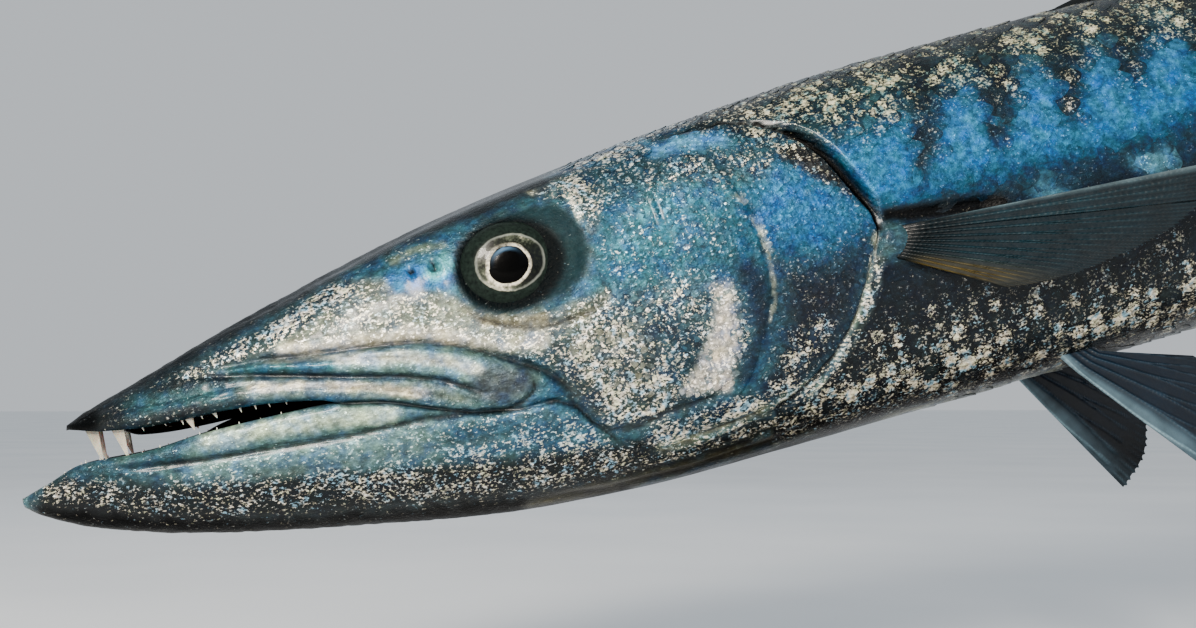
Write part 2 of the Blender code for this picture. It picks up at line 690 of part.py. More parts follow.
def make_median_fins(shop):
    spines = profile([(0, 76), (0.3, 72), (0.7, 52), (1, 26)])
    fold = profile([(0, 11), (1, 17)])
    median_fin(shop, "first_dorsal_fin", (442, 506), 5, spines, fold, -2, True, 5, 1.3)
    soft = profile([(0, 104), (0.12, 98), (0.35, 58), (0.7, 38), (1, 44)])
    lean = profile([(0, 56), (0.4, 44), (1, 20)])
    median_fin(shop, "second_dorsal_fin", (727, 812), 10, soft, lean, 14, True)
    soft_low = profile([(0, 98), (0.12, 92), (0.35, 54), (0.7, 36), (1, 42)])
    median_fin(shop, "anal_fin", (738, 820), 10, soft_low, lean, 14, False)


def tail_lobe(shop, name, sign):
    """Half of the forked tail fin, from its outer edge to the middle line. sign is 1 above it."""
    columns = 2 * TAIL_RAYS - 1
    base_top, base_low = top_at(STANDARD_LENGTH) - 1.5, bottom_at(STANDARD_LENGTH) + 1.5
    middle, half_base = (base_top + base_low) / 2, (base_top - base_low) / 2
    lobe = TOTAL_LENGTH - STANDARD_LENGTH - TAIL_FORK

    def place(u, v):
        out = 1 - u
        wave = TAIL_WAVE * math.exp(-((out - 0.2) / 0.12) ** 2)
        tip_x = TAIL_FORK + lobe * out**2.1 + wave * (1 - out)
        tip_z = TAIL_HALF_SPAN * out**0.95
        root_z = half_base * out
        lift = root_z + (tip_z - root_z) * 0.62
        notch = 0.985 if round(u * (columns - 1)) % 2 and v > 0.9 else 1.0
        t = v * notch
        x = 2 * (1 - t) * t * tip_x * 0.42 + t**2 * tip_x
        z = (1 - t) ** 2 * root_z + 2 * (1 - t) * t * lift + t**2 * tip_z
        return Vector((STANDARD_LENGTH + GAP + x, 0, middle + sign * (GAP / 2 + z)))

    def half(column, v):
        ray = column % 2 == 0
        thin = TAIL_RAY_HALF if ray else TAIL_MEMBRANE_HALF
        near = max(0.0, 1 - v / TAIL_SKIN_SHARE)
        root = TAIL_ROOT_HALF if ray else TAIL_ROOT_HALF - 0.8
        return near * root + (1 - near) * (thin + (EDGE_HALF - thin) * v)

    made = fin_sheet(columns, 7, place, half, lambda u, v: Vector((0, -1, 0)))
    fin = shop.part(made, name, (STANDARD_LENGTH, 0, middle))
    set_looks(fin, "fin_skin", 60)


def paired_fin(shop, name, side, rays, roots, length_at, down_at, splay, stand_off, rows=5):
    """A fin that grows from one side: roots are its front and rear ends as station and height."""
    columns = 2 * rays - 1
    (front, front_z), (rear, rear_z) = roots

    def ray(u):
        station, height = front + (rear - front) * u, front_z + (rear_z - front_z) * u
        down = math.radians(down_at(u))
        along = Vector((math.cos(down), side * math.tan(math.radians(splay(u))), -math.sin(down)))
        return on_skin(station, height, side, GAP + stand_off), along.normalized()

    def place(u, v):
        base, along = ray(u)
        notch = 0.97 if round(u * (columns - 1)) % 2 and v > 0.9 else 1.0
        return base + along * length_at(u) * v * notch

    def normal(u, v):
        step = 0.02
        here, there = place(max(u - step, 0), max(v, 0.3)), place(min(u + step, 1), max(v, 0.3))
        cross = ray(u)[1].cross(there - here).normalized()
        return cross

    made = fin_sheet(columns, rows, place, ray_thickness(PAIRED_RAY_HALF), normal)
    base = ray(0.5)[0]
    fin = shop.part(made, name, base)
    set_looks(fin, "fin_skin", 60)


def make_paired_fins(shop):
    for side_name, side in SIDES.items():
        paired_fin(shop, f"pectoral_fin_{side_name}", side, 12, ((325, 1.5), (322, -9)),
                   profile([(0, 128), (0.15, 125), (0.6, 84), (1, 46)]),
                   profile([(0, 3.5), (1, 30)]), profile([(0, 11), (1, 9)]), PAIRED_RAY_HALF + 0.2)
        paired_fin(shop, f"pelvic_fin_{side_name}", side, 6, ((393, -66.5), (408, -67)),
                   profile([(0, 94), (0.3, 88), (1, 44)]),
                   profile([(0, 54), (1, 18)]), profile([(0, 12), (1, 8)]), 0.6)


def to_world(point):
    tilt = math.radians(NOSE_DOWN)
    x, y, z = point
    start = -STATION_OVER_BASE * math.cos(tilt)
    return Vector((start + x * math.cos(tilt) - z * math.sin(tilt), y,
                   JAW_TIP_HEIGHT + x * math.sin(tilt) + z * math.cos(tilt)))


def turned(points):
    """One ring of points for each (radius, height) pair of a round piece."""
    rings = []
    for radius, height in points:
        turns = [math.tau * i / STAND_SIDES for i in range(STAND_SIDES)]
        rings.append([(radius * math.cos(turn), radius * math.sin(turn), height) for turn in turns])
    return rings


def make_stand(shop):
    length, width, height = BASE_SIZE
    made = bmesh.new()
    bmesh.ops.create_cube(made, size=1.0)
    bmesh.ops.scale(made, verts=made.verts, vec=(length, width, height))
    bmesh.ops.translate(made, verts=made.verts, vec=(0, 0, height / 2))
    upright = [edge for edge in made.edges if abs(edge.verts[0].co.z - edge.verts[1].co.z) > 1]
    bmesh.ops.bevel(made, geom=upright, offset=BASE_CORNER, segments=6, profile=0.5, affect="EDGES")
    rim = [edge for edge in made.edges if all(vert.co.z > height - 0.1 for vert in edge.verts)]
    bmesh.ops.bevel(made, geom=rim, offset=BASE_EDGE, segments=2, profile=0.5, affect="EDGES")
    base = object_from(made, "stand_base", shop.parts)
    set_looks(base, "wood")
    for name, station in ROD_STATIONS.items():
        belly = to_world((station, 0, bottom_at(station)))
        low, top = height + GAP, belly.z - CUP_HEIGHT
        rod = bmesh.new()
        bmesh.ops.create_cone(rod, cap_ends=True, segments=STAND_SIDES, radius1=ROD_RADIUS,
                              radius2=ROD_RADIUS, depth=top - low)
        bmesh.ops.translate(rod, verts=rod.verts, vec=(belly.x, 0, (top + low) / 2))
        rod = object_from(rod, f"stand_rod_{name}", shop.parts, (belly.x, 0, low))
        set_looks(rod, "steel")
        inner = ROD_RADIUS + GAP
        section = [(inner, low), (COLLAR_RADIUS, low), (COLLAR_RADIUS, low + COLLAR_HEIGHT * 0.4),
                   (inner + COLLAR_BORE_WALL, low + COLLAR_HEIGHT), (inner, low + COLLAR_HEIGHT)]
        collar = bmesh.new()
        rows = [[collar.verts.new(point) for point in ring] for ring in turned(section)]
        for row, following in zip(rows, rows[1:] + rows[:1]):
            for i in range(STAND_SIDES):
                j = (i + 1) % STAND_SIDES
                collar.faces.new((row[i], row[j], following[j], following[i]))
        bmesh.ops.translate(collar, verts=collar.verts, vec=(belly.x, 0, 0))
        collar = object_from(collar, f"stand_collar_{name}", shop.parts, (belly.x, 0, low))
        set_looks(collar, "steel")
        cup_low = top + GAP
        cup_high = belly.z + CUP_HOLD
        section = [(ROD_RADIUS + 1.5, cup_low), (CUP_RADIUS, cup_low + CUP_TAPER), (CUP_RADIUS, cup_high)]
        cup = loft(turned(section))
        bmesh.ops.translate(cup, verts=cup.verts, vec=(belly.x, 0, 0))
        cup = object_from(cup, f"stand_cup_{name}", shop.parts, (belly.x, 0, cup_low))
        around = body_length(station - 60, station + 60, 24, 32, lambda s: GAP + 0.1)
        boolean(cup, "DIFFERENCE", shop.cutter(around, "belly"))
        keep_largest(cup)
        set_looks(cup, "steel")


def main():
    clear_scene()
    shop = Workshop()
    make_head(shop)
    make_lower_jaw(shop)
    make_throat(shop)
    for side_name in SIDES:
        make_eye(shop, side_name)
        for name in ("maxilla", "cheek", "gill_cover"):
            side_plate(shop, name, side_name)
    make_trunk(shop)
    make_median_fins(shop)
    tail_lobe(shop, "tail_fin_upper", 1)
    tail_lobe(shop, "tail_fin_lower", -1)
    make_paired_fins(shop)
    make_stand(shop)
    bpy.context.view_layer.update()


main()
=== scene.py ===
import math
from functools import partial

import bpy
import numpy as np
from mathutils import Matrix, Vector


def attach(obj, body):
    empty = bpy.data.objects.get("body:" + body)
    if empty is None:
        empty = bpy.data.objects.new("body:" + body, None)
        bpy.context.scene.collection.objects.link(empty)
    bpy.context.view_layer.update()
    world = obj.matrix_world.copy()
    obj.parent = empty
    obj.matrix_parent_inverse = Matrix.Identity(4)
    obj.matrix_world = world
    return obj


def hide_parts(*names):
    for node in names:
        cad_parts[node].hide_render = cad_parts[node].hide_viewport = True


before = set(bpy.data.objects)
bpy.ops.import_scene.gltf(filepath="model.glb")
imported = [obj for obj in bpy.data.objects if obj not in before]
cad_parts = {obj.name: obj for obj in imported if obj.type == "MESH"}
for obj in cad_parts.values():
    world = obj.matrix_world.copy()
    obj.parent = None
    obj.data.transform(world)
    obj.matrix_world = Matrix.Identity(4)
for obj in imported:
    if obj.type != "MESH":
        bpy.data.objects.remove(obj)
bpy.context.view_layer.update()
print("frame loaded with", len(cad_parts), "nodes")

# How the stand holds the fish
hold = {"noseDown": 15.4, "jawTipHeight": 130.0, "stationOverBase": 580.0}
tilt = math.radians(hold["noseDown"])
tiltCos, tiltSin = math.cos(tilt), math.sin(tilt)


def toWorld(points):
    # fish millimetres to metres on the floor
    points = np.asarray(points, float)
    x = -hold["stationOverBase"] * tiltCos + points[..., 0] * tiltCos - points[..., 2] * tiltSin
    z = hold["jawTipHeight"] + points[..., 0] * tiltSin + points[..., 2] * tiltCos
    return np.stack([x, points[..., 1], z], -1) * 0.001


# Camera: a close view of the head and shoulder from a little below the eye, as a diver sees the fish
shot = {"lens": 43.46, "sensor": 36.0, "place": (-0.4754, -0.5492, 0.1515), "right": (0.97424, -0.2255, 0.0),
        "up": (-0.01405, -0.06042, 0.99808), "ahead": (0.22506, 0.97237, 0.06203)}
bpy.ops.object.camera_add()
camera = bpy.context.object
camera.name = "photoCamera"
camera.data.lens = shot["lens"]
camera.data.sensor_width = shot["sensor"]
camera.data.clip_start = 0.01
turn = Matrix((shot["right"], shot["up"], [-v for v in shot["ahead"]])).transposed().to_4x4()
turn.translation = Vector(shot["place"])
camera.matrix_world = turn
bpy.context.scene.camera = camera


def hexColour(text):
    # sRGB hex to linear
    parts = [int(text[i:i + 2], 16) / 255 for i in (1, 3, 5)]
    return tuple(c / 12.92 if c <= 0.04045 else ((c + 0.055) / 1.055) ** 2.4 for c in parts)


def setInputs(node, values):
    # values for inputs in order or by name, each a number, a hex colour or an output to join
    for key, value in values.items() if isinstance(values, dict) else enumerate(values):
        if isinstance(value, bpy.types.NodeSocket):
            node.id_data.links.new(value, node.inputs[key])
        else:
            node.inputs[key].default_value = (*hexColour(value), 1) if isinstance(value, str) else value


def addNode(tree, kind, inputs=(), stops=(), **settings):
    # a node with its settings, a ramp's stops and its inputs; gives back its first output
    node = tree.nodes.new("ShaderNode" + kind)
    for key, value in settings.items():
        setattr(node, key, value)
    while stops and len(node.color_ramp.elements) < len(stops):
        node.color_ramp.elements.new(0.5)
    for element, (place, colour) in zip(node.color_ramp.elements if stops else (), stops):
        element.position = place
        element.color = (*(hexColour(colour) if isinstance(colour, str) else (colour,) * 3), 1)
    setInputs(node, inputs)
    return node.outputs[0]


def newMaterial(name):
    # with addNode for its own tree, its shader and the place on the object, which patterns lie in
    material = bpy.data.materials.new(name)
    material.use_nodes = True
    add = partial(addNode, material.node_tree)
    return material, add, material.node_tree.nodes["Principled BSDF"], add("TexCoord").node.outputs["Object"]


# Stage: pale floor and soft studio light
stageSet = {"floorSize": 60.0, "floorPale": "#eceff1", "floorDark": "#e2e6e9", "cloudScale": 3.0,
            "worldColour": "#e3e9ef", "worldStrength": 0.78}
bpy.ops.object.select_all(action="DESELECT")
bpy.ops.mesh.primitive_plane_add(size=stageSet["floorSize"], location=(0, 0, 0))
floor = bpy.context.object
floor.name = "studioFloor"
# Paper backdrop, matt and faintly clouded
paper, add, shader, place = newMaterial("palePaperBackdrop")
clouds = add("TexNoise", {"Vector": place, "Scale": stageSet["cloudScale"]})
pale = add("ValToRGB", [clouds], [(0.3, stageSet["floorDark"]), (0.7, stageSet["floorPale"])])
setInputs(shader, {"Base Color": pale, "Roughness": 0.8})
floor.data.materials.append(paper)

world = bpy.data.worlds.new("studioAir")
bpy.context.scene.world = world
world.use_nodes = True
setInputs(world.node_tree.nodes["Background"], [stageSet["worldColour"], stageSet["worldStrength"]])

lamps = {
    "keySoftbox": {"place": (-1.0, -1.5, 0.85), "aim": (-0.34, 0, 0.2), "size": 0.35, "power": 78,
                    "colour": "#fff4e6"},
    "fillSoftbox": {"place": (0.9, -2.0, 0.9), "aim": (-0.1, 0, 0.28), "size": 1.2, "power": 5,
                    "colour": "#dcebff"},
    "rimSoftbox": {"place": (-0.3, 1.7, 1.3), "aim": (-0.2, 0, 0.25), "size": 1.2, "power": 2.5,
                    "colour": "#e6f1ff"},
}
for name, lamp in lamps.items():
    bpy.ops.object.light_add(type="AREA", location=lamp["place"])
    light = bpy.context.object
    light.name = name
    light.data.size = lamp["size"]
    light.data.energy = lamp["power"]
    light.data.color = hexColour(lamp["colour"])
    towards = Vector(lamp["aim"]) - Vector(lamp["place"])
    light.rotation_euler = towards.to_track_quat("-Z", "Y").to_euler()
print("camera, floor and lights set")

# Body's form: pairs of station and value, the same as the solids have
bodyShape = {
    "top": [(-2, -11.5), (3, -4), (17, 8.4), (50, 19.4), (90, 31.4), (172, 50.6), (258, 62.4), (350, 70.4),
            (480, 73.5), (600, 71), (720, 62), (860, 44), (935, 37.5), (1020, 41)],
    "bottom": [(-2, -15.5), (2, -19.2), (20, -29.4), (53, -41), (106, -54), (180, -67.8), (240, -72),
               (420, -73.6), (560, -72), (640, -67), (720, -59.5), (860, -39.5), (935, -33), (1020, -37)],
    "halfWidth": [(-2, 3.2), (3, 6.4), (17, 10.5), (50, 17.5), (90, 24), (130, 30), (183, 36), (240, 42),
                  (320, 46.5), (480, 52), (600, 49.5), (720, 42), (860, 27.5), (935, 20), (1020, 7.5)],
    "widest": [(-2, -13.5), (17, -6), (90, 0), (183, 5), (320, 0), (480, 0), (1020, 2)],
    "topSquare": [(-2, 2), (50, 2.2), (130, 2.6), (183, 2.9), (260, 2.5), (400, 2.2), (1020, 2)],
    "bellySquare": [(-2, 2), (90, 2), (240, 2.2), (480, 2.1), (1020, 2)],
    "end": 1018.0, "fullLength": 1200.0,
}


def smoothCurve(points):
    # smooth function through pairs, which never swings past them
    xs, ys = np.array(points, float).T
    steps = np.diff(ys) / np.diff(xs)
    slopes = np.concatenate([steps[:1], np.zeros(len(xs) - 2), steps[-1:]])
    alike = steps[:-1] * steps[1:] > 0
    slopes[1:-1][alike] = 2 * steps[:-1][alike] * steps[1:][alike] / (steps[:-1] + steps[1:])[alike]

    def value(x):
        x = np.asarray(x, float)
        i = np.clip(np.searchsorted(xs, x) - 1, 0, len(xs) - 2)
        span = xs[i + 1] - xs[i]
        t = np.clip((x - xs[i]) / span, 0, 1)
        return (ys[i] * (2 * t**3 - 3 * t**2 + 1) + ys[i + 1] * (3 * t**2 - 2 * t**3)
                + slopes[i] * span * (t**3 - 2 * t**2 + t) + slopes[i + 1] * span * (t**3 - t**2))

    return value


topAt, bottomAt, halfWidthAt, widestAt, topSquareAt, bellySquareAt = (
    smoothCurve(bodyShape[key])
    for key in ("top", "bottom", "halfWidth", "widest", "topSquare", "bellySquare"))


def sectionParts(station, above):
    middle = widestAt(station)
    reach = np.where(above, topAt(station) - middle, middle - bottomAt(station))
    return middle, reach, np.where(above, topSquareAt(station), bellySquareAt(station))


def bodyPoint(station, angle):
    # angle runs from 0 on the back over the left side to pi under the belly, and below 0 on the right side
    side, up = np.sin(angle), np.cos(angle)
    middle, reach, square = sectionParts(station, up >= 0)
    y = -halfWidthAt(station) * np.sign(side) * np.abs(side) ** (2 / square)
    return np.stack([station + 0 * y, y, middle + reach * np.sign(up) * np.abs(up) ** (2 / square)], -1)


def bodyNormal(station, angle):
    along = bodyPoint(station + 0.8, angle) - bodyPoint(station - 0.8, angle)
    around = bodyPoint(station, angle + 0.012) - bodyPoint(station, angle - 0.012)
    normal = np.cross(along, around)
    normal /= np.maximum(np.linalg.norm(normal, axis=-1, keepdims=True), 1e-9)
    outward = np.stack([0 * station, -np.sin(angle), np.cos(angle)], -1)
    return normal * np.sign(np.sum(normal * outward, -1, keepdims=True) + 1e-12)


def angleAtHeight(station, height):
    # angle on the left side where the skin is at that height
    above = height >= widestAt(station)
    middle, reach, square = sectionParts(station, above)
    up = np.clip(np.abs(height - middle) / reach, 0, 1) ** (square / 2)
    return np.arccos(np.where(above, up, -up))


def widthAtHeight(station, height):
    return -bodyPoint(station, angleAtHeight(station, height))[..., 1]


def smoothStep(low, high, value):
    t = np.clip((value - low) / (high - low), 0, 1)
    return t * t * (3 - 2 * t)


def bell(value, width, power=2):
    # 1 in the middle and next to nothing past twice the width; a higher power makes its top flatter
    return np.exp(-((value / width) ** power))


def ellipseAway(x, z, centre, half):
    # 0 at the centre, 1 on the ellipse
    return np.hypot((x - centre[0]) / half[0], (z - centre[1]) / half[1])


def lineDistance(points, s, z):
    # distance in the side view to a line of points, and how far along it the nearest place lies
    best, along = np.full(s.shape, 1e9), np.zeros(s.shape)
    for i, ((ax, az), (bx, bz)) in enumerate(zip(points, points[1:])):
        dx, dz = bx - ax, bz - az
        t = np.clip(((s - ax) * dx + (z - az) * dz) / (dx * dx + dz * dz), 0, 1)
        d = np.hypot(s - ax - t * dx, z - az - t * dz)
        near = d < best
        best[near], along[near] = d[near], (i + t[near]) / (len(points) - 1)
    return best, along


def insideDepth(points, s, z):
    # how deep a place lies inside a closed outline, below 0 outside it
    inside = np.zeros(s.shape, bool)
    for (ax, az), (bx, bz) in zip(points, points[1:] + points[:1]):
        crosses = (az > z) != (bz > z)
        with np.errstate(divide="ignore", invalid="ignore"):
            inside ^= crosses & (s < (bx - ax) * (z - az) / (bz - az if bz != az else 1e-9) + ax)
    return np.where(inside, 1, -1) * lineDistance(points + points[:1], s, z)[0]


def softNoise(points, size, seed):
    # smooth random field from 0 to 1 with bumps of about that size
    p = np.asarray(points, float) / size + seed * 17.3
    cell = np.floor(p).astype(np.int64)
    f = p - cell
    f = f * f * (3 - 2 * f)
    total = np.zeros(p.shape[:-1])
    for corner in np.ndindex(2, 2, 2):
        x, y, z = np.moveaxis(cell + corner, -1, 0)
        h = (x * 73856093) ^ (y * 19349663) ^ (z * 83492791)  # large primes scatter the corners
        h = ((h ^ (h >> 13)) * 1274126177) & 0x7FFFFFFF
        total += np.prod(np.where(corner, f, 1 - f), -1) * (((h ^ (h >> 15)) & 0xFFFF) / 65535)
    return total


# Mouth in the side view
mouth = {
    "seam": [(113, -8.7), (127, -12.2), (140, -17.5), (150, -21.6), (160, -25.2), (178, -28)],
    "upper": [(18, 8.6), (31, 4), (50, 0.8), (78, -0.8), (106, -5.8)],
    "lower": [(-10, -11.6), (0, -10.9), (8, -9.2), (21, -5.6), (45, -7.2), (64, -6.2), (98, -7.1)],
    "behind": [(200, -28.5), (260, -26), (330, -18), (500, -6), (1060, 2)],
    "corner": 113.0, "tongueWidth": 0.5, "palateRise": 6.0, "floorDrop": 7.0, "lipThickness": 2.6,
    "lipCurl": 1.2,
}
upperLipAt = smoothCurve(mouth["upper"] + mouth["seam"] + mouth["behind"])
lowerLipAt = smoothCurve(mouth["lower"] + mouth["seam"] + mouth["behind"])

# Folds, plates and pits of the head in the side view, in mm, up to the station where they end
headRelief = {
    # each groove: its line, depth and half width
    "grooves": [
        ([(178, -27.6), (187, -28), (194, -32.5), (200, -41), (205, -47), (209, -53)], 1.3, 1.1),
        ([(70, 16.4), (77, 15), (89.5, 14.2), (103, 11.7), (117, 9.8), (131, 7.9), (145, 5.3), (157, 0.7),
          (168, -5.4), (180, -12.9), (186, -17), (191, -22.3), (196, -30.3), (202, -38.7)], 1.7, 1.5),
        ([(64, 14.6), (85, 9.5), (101, 5), (118, 0), (135.5, -4.6), (149, -9.8), (158, -15.5),
          (163, -19)], 1.5, 1.4),
        ([(92, 12), (108, 8.6), (124, 5.2), (140, 0.9), (151, -3.8), (160, -9)], 0.5, 1.2),
        ([(98, 1.7), (116, -3.2), (132, -8.4), (144, -13.6), (152, -17.6)], 0.45, 1.1),
        ([(181, -16.7), (180.5, -22), (176, -25.4), (168.5, -26.5), (160, -24.6)], 1.0, 1.0),
        ([(34, -10.8), (47, -13.2), (60.6, -15.2), (78, -17.1), (95, -19.1), (113, -20.8), (131, -21.4),
          (142, -22.2), (156, -24.4), (172, -29)], 1.2, 1.4),
        ([(60, -22), (90, -27), (122, -31), (150, -33.5), (176, -37)], 0.5, 1.8),
        ([(188, -21.7), (193, -30), (199, -40), (204, -43.7), (215.5, -45.5), (228, -42.8), (244, -42),
          (252, -38)], 0.9, 1.1),
        ([(162, 14.3), (167.5, 8.1), (175.4, 3), (185.7, -0.5), (196.7, -1.2), (206.4, 0),
          (216, 3)], 0.8, 1.1),
        ([(213.6, -51.9), (216.5, -55.3), (224, -57.5), (240, -54.6), (257, -53), (271, -50.5)], 0.9, 1.0),
        ([(200, -62.6), (228, -63.6), (256, -62.8), (280, -59)], 0.8, 1.1),
        ([(172, -62.5), (200, -66.4), (234, -67.4), (268, -66), (292, -62.6)], 0.8, 1.2),
        ([(132, 34), (141, 35.5), (150, 37.4)], 0.4, 1.2),
    ],
    "maxilla": [(74, 14.6), (90, 13.6), (117, 9.4), (145, 4.6), (157, 0.2), (168, -5.8), (179, -13),
                (182, -18), (179.5, -23), (174, -25.4), (162, -24), (154, -17.5), (149, -11),
                (135, -5.6), (118, -0.8), (101, 4.2), (85, 8.8)],
    "cheek": [(209, -50), (203, -40), (195, -27), (188, -17), (176, -8), (160, 2), (166, 5.5), (185, 3),
              (204, 6), (222, 25), (236, 42), (250, 49), (266, 44), (272, 25), (274.4, 4), (273, -10),
              (267.5, -23.5), (260, -37), (251, -47), (238, -52.5), (222, -55)],
    # the cover's upper front, its free rear edge and its lower front
    "gillCover": [(200, -52), (222, -30), (240, 0), (240, 36), (256, 56),
                  (277, 55.8), (290, 51.4), (297, 46.3), (303.5, 39.8), (308, 33.4), (311.6, 24.7),
                  (315, 16.9), (319, 8.9), (319.8, 2.9), (316.5, -4.9), (313, -11.8), (307, -22),
                  (300.5, -31), (293, -38.5), (284, -45), (274, -50.4),
                  (262, -54.6), (247, -58), (231, -59), (214, -58)],
    "freeEdge": slice(5, 21),
    "cheekPad": [(204, -20), (222, 0), (240, 8), (256, 0), (262, -18), (252, -36), (232, -44), (214, -40)],
    "eye": {"centre": (183.0, 24.6), "orbit": (19.4, 16.6)},
    "finRoot": {"centre": (326, -4.2), "half": (9.5, 8.6)},
    "nostrils": [(148.5, 30.5, 1.7), (157.0, 30.0, 2.5)],
    "end": 380,
    # how far each form stands off or lies deep at the most
    "height": {"groove": 1.3, "maxilla": 1.5, "gillCover": 1.7, "gillGap": 1.8, "cheek": 0.9,
               "cheekPad": 0.9, "finRoot": 2.6, "finHollow": 2.0, "upperLip": 1.2, "lowerLip": 1.1,
               "shutMouth": 1.5, "orbit": 0.8, "underEye": 0.5, "nostrilRim": 0.75, "nostril": 2.6,
               "bone": 0.34, "flesh": 0.22, "crown": 1.0},
}


def nostrilsAway(s, z):
    # 1 on the rim of each nostril
    return [np.hypot(s - middle, (z - height) * 1.15) / half
            for middle, height, half in headRelief["nostrils"]]


def gapHalf(height):
    # half width of the gill opening's dark gap: wide above, a line below
    wide = 1.7 * smoothStep(2, 20, height) * (1 - smoothStep(46, 58, height))
    return 0.5 + 0.6 * smoothStep(-14, 2, height) + wide


def fadeEnds(along, pace):
    # a groove runs out at both ends; the pace is one over the share of its length that this takes
    return np.clip(along * pace, 0, 1) * np.clip((1 - along) * pace, 0, 1)


def reliefAt(points):
    # how far the skin stands off the body's form, in mm
    s, z = points[..., 0], points[..., 2]
    out = np.zeros(s.shape)
    head = s < headRelief["end"]
    s, z, spot = s[head], z[head], points[head]
    lift, most = np.zeros(s.shape), headRelief["height"]
    for line, depth, width in headRelief["grooves"]:
        distance, along = lineDistance(line, s, z)
        deep = most["groove"] * depth * (0.35 + 0.65 * fadeEnds(along, 8))
        lift -= deep * bell(distance, width) * (distance < 6)
    depth = insideDepth(headRelief["maxilla"], s, z)
    lift += most["maxilla"] * smoothStep(-0.6, 2.6, depth) * smoothStep(70, 118, s)
    depth = insideDepth(headRelief["gillCover"], s, z)
    lift += most["gillCover"] * smoothStep(-0.5, 1.0, depth) * smoothStep(215, 262, s)
    thick = gapHalf(z)
    lift -= most["gillGap"] * thick * bell(depth + 0.4 + thick, thick, 4) * smoothStep(240, 275, s)
    depth = insideDepth(headRelief["cheek"], s, z)
    lift += most["cheek"] * smoothStep(-0.7, 0.9, depth) * smoothStep(200, 262, s)
    lift += most["cheekPad"] * smoothStep(0, 14, insideDepth(headRelief["cheekPad"], s, z))
    # fleshy base of the pectoral fin, and the hollow over it that the folded fin would fill
    root = headRelief["finRoot"]
    away = ellipseAway(s, z, root["centre"], root["half"])
    lift += most["finRoot"] * (1 - smoothStep(0.35, 1.1, away)) * (s > 317.5)
    lift -= most["finHollow"] * bell(lineDistance([(327, 6), (345, 3.4), (366, 1)], s, z)[0], 3.2)
    # lips: a rolled band above and below the mouth's line
    above, below = z - upperLipAt(s), lowerLipAt(s) - z
    for off, breadth, roll, start, end in (
            (above, 7.5, most["upperLip"], (20, 40), (138, 156)),
            (below, 10.5, most["lowerLip"], (6, 34), (134, 160))):
        band = np.sin(math.pi * np.clip(off / breadth, 0, 1)) ** 0.8
        lift += roll * band * smoothStep(*start, s) * (1 - smoothStep(*end, s)) * (off > 0)
    shut = most["shutMouth"] * bell(above, 0.9)
    lift -= shut * smoothStep(111, 116, s) * (1 - smoothStep(176, 184, s))
    # orbit and nostrils
    eye = headRelief["eye"]
    r = ellipseAway(s, z, eye["centre"], eye["orbit"])
    lift -= most["orbit"] * (1 - smoothStep(0.8, 1.1, r))
    lift -= most["underEye"] * bell(r - 1.42, 0.1) * (z < 24)
    for d in nostrilsAway(s, z):
        lift += most["nostrilRim"] * bell(d - 1.25, 0.35) - most["nostril"] * (1 - smoothStep(0.35, 1.05, d))
    # bony texture of the snout and jaws, and shallow hollows on the crown
    rough = softNoise(spot * (1, 1, 1.8), 3.2, 1) + 0.6 * softNoise(spot * (1, 1, 1.6), 1.7, 2) - 0.8
    bony = (1 - smoothStep(150, 200, s)) * (1 - bell(np.minimum(above, below), 5))
    lift += most["bone"] * rough * bony * (r > 1.3)
    lift += most["flesh"] * (softNoise(spot, 9, 3) - 0.5) * (r > 1.2)
    crown = smoothStep(0.55, 0.95, (z - widestAt(s)) / (topAt(s) - widestAt(s)))
    width = np.abs(spot[..., 1]) / halfWidthAt(s)
    hollow = most["crown"] * crown * bell(width - 0.34, 0.16)
    lift -= hollow * smoothStep(60, 110, s) * (1 - smoothStep(215, 250, s))
    out[head] = lift * smoothStep(-2, 12, s)
    return out


sides = {"left": -1, "right": 1}  # the fish's own sides, as signs of y


def deselect():
    bpy.ops.object.select_all(action="DESELECT")


def layGrid(name, points, onFish=True):
    # adds a plane grid and lays its vertices on the rows of points, in fish mm or in mm on the floor
    rows, columns = points.shape[:2]
    deselect()
    bpy.ops.mesh.primitive_grid_add(x_subdivisions=columns - 1, y_subdivisions=rows - 1, size=2)
    sheet = bpy.context.object
    sheet.name = name
    metres = toWorld(points) if onFish else points * 0.001
    sheet.data.vertices.foreach_set("co", metres.ravel().astype(np.float32))
    while sheet.data.uv_layers:
        sheet.data.uv_layers.remove(sheet.data.uv_layers[0])
    return sheet


def joinSheets(sheets, name, weld=0.00002):
    # joins pieces into one mesh, welds their shared edges and turns all faces outwards
    deselect()
    for sheet in sheets:
        sheet.select_set(True)
    bpy.context.view_layer.objects.active = sheets[0]
    if len(sheets) > 1:
        bpy.ops.object.join()
    piece = bpy.context.view_layer.objects.active
    bpy.ops.object.mode_set(mode="EDIT")
    bpy.ops.mesh.select_all(action="SELECT")
    bpy.ops.mesh.remove_doubles(threshold=weld)
    bpy.ops.mesh.dissolve_degenerate(threshold=0.000002)
    bpy.ops.mesh.select_all(action="SELECT")
    bpy.ops.mesh.normals_make_consistent(inside=False)
    bpy.ops.object.mode_set(mode="OBJECT")
    piece.name = piece.data.name = name
    return piece


def finishPiece(piece, material, slotName, nodes=(), smoothAngle=None):
    piece.data.materials.clear()
    piece.data.materials.append(material)
    deselect()
    piece.select_set(True)
    bpy.context.view_layer.objects.active = piece
    if smoothAngle is None:
        bpy.ops.object.shade_smooth()
    else:
        bpy.ops.object.shade_smooth_by_angle(angle=math.radians(smoothAngle))
    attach(piece, "root")
    if nodes:
        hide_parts(*nodes)


def meshPlaces(piece):
    # a piece's vertices as they are stored
    flat = np.empty(len(piece.data.vertices) * 3, np.float32)
    piece.data.vertices.foreach_get("co", flat)
    return flat.reshape(-1, 3).astype(float)


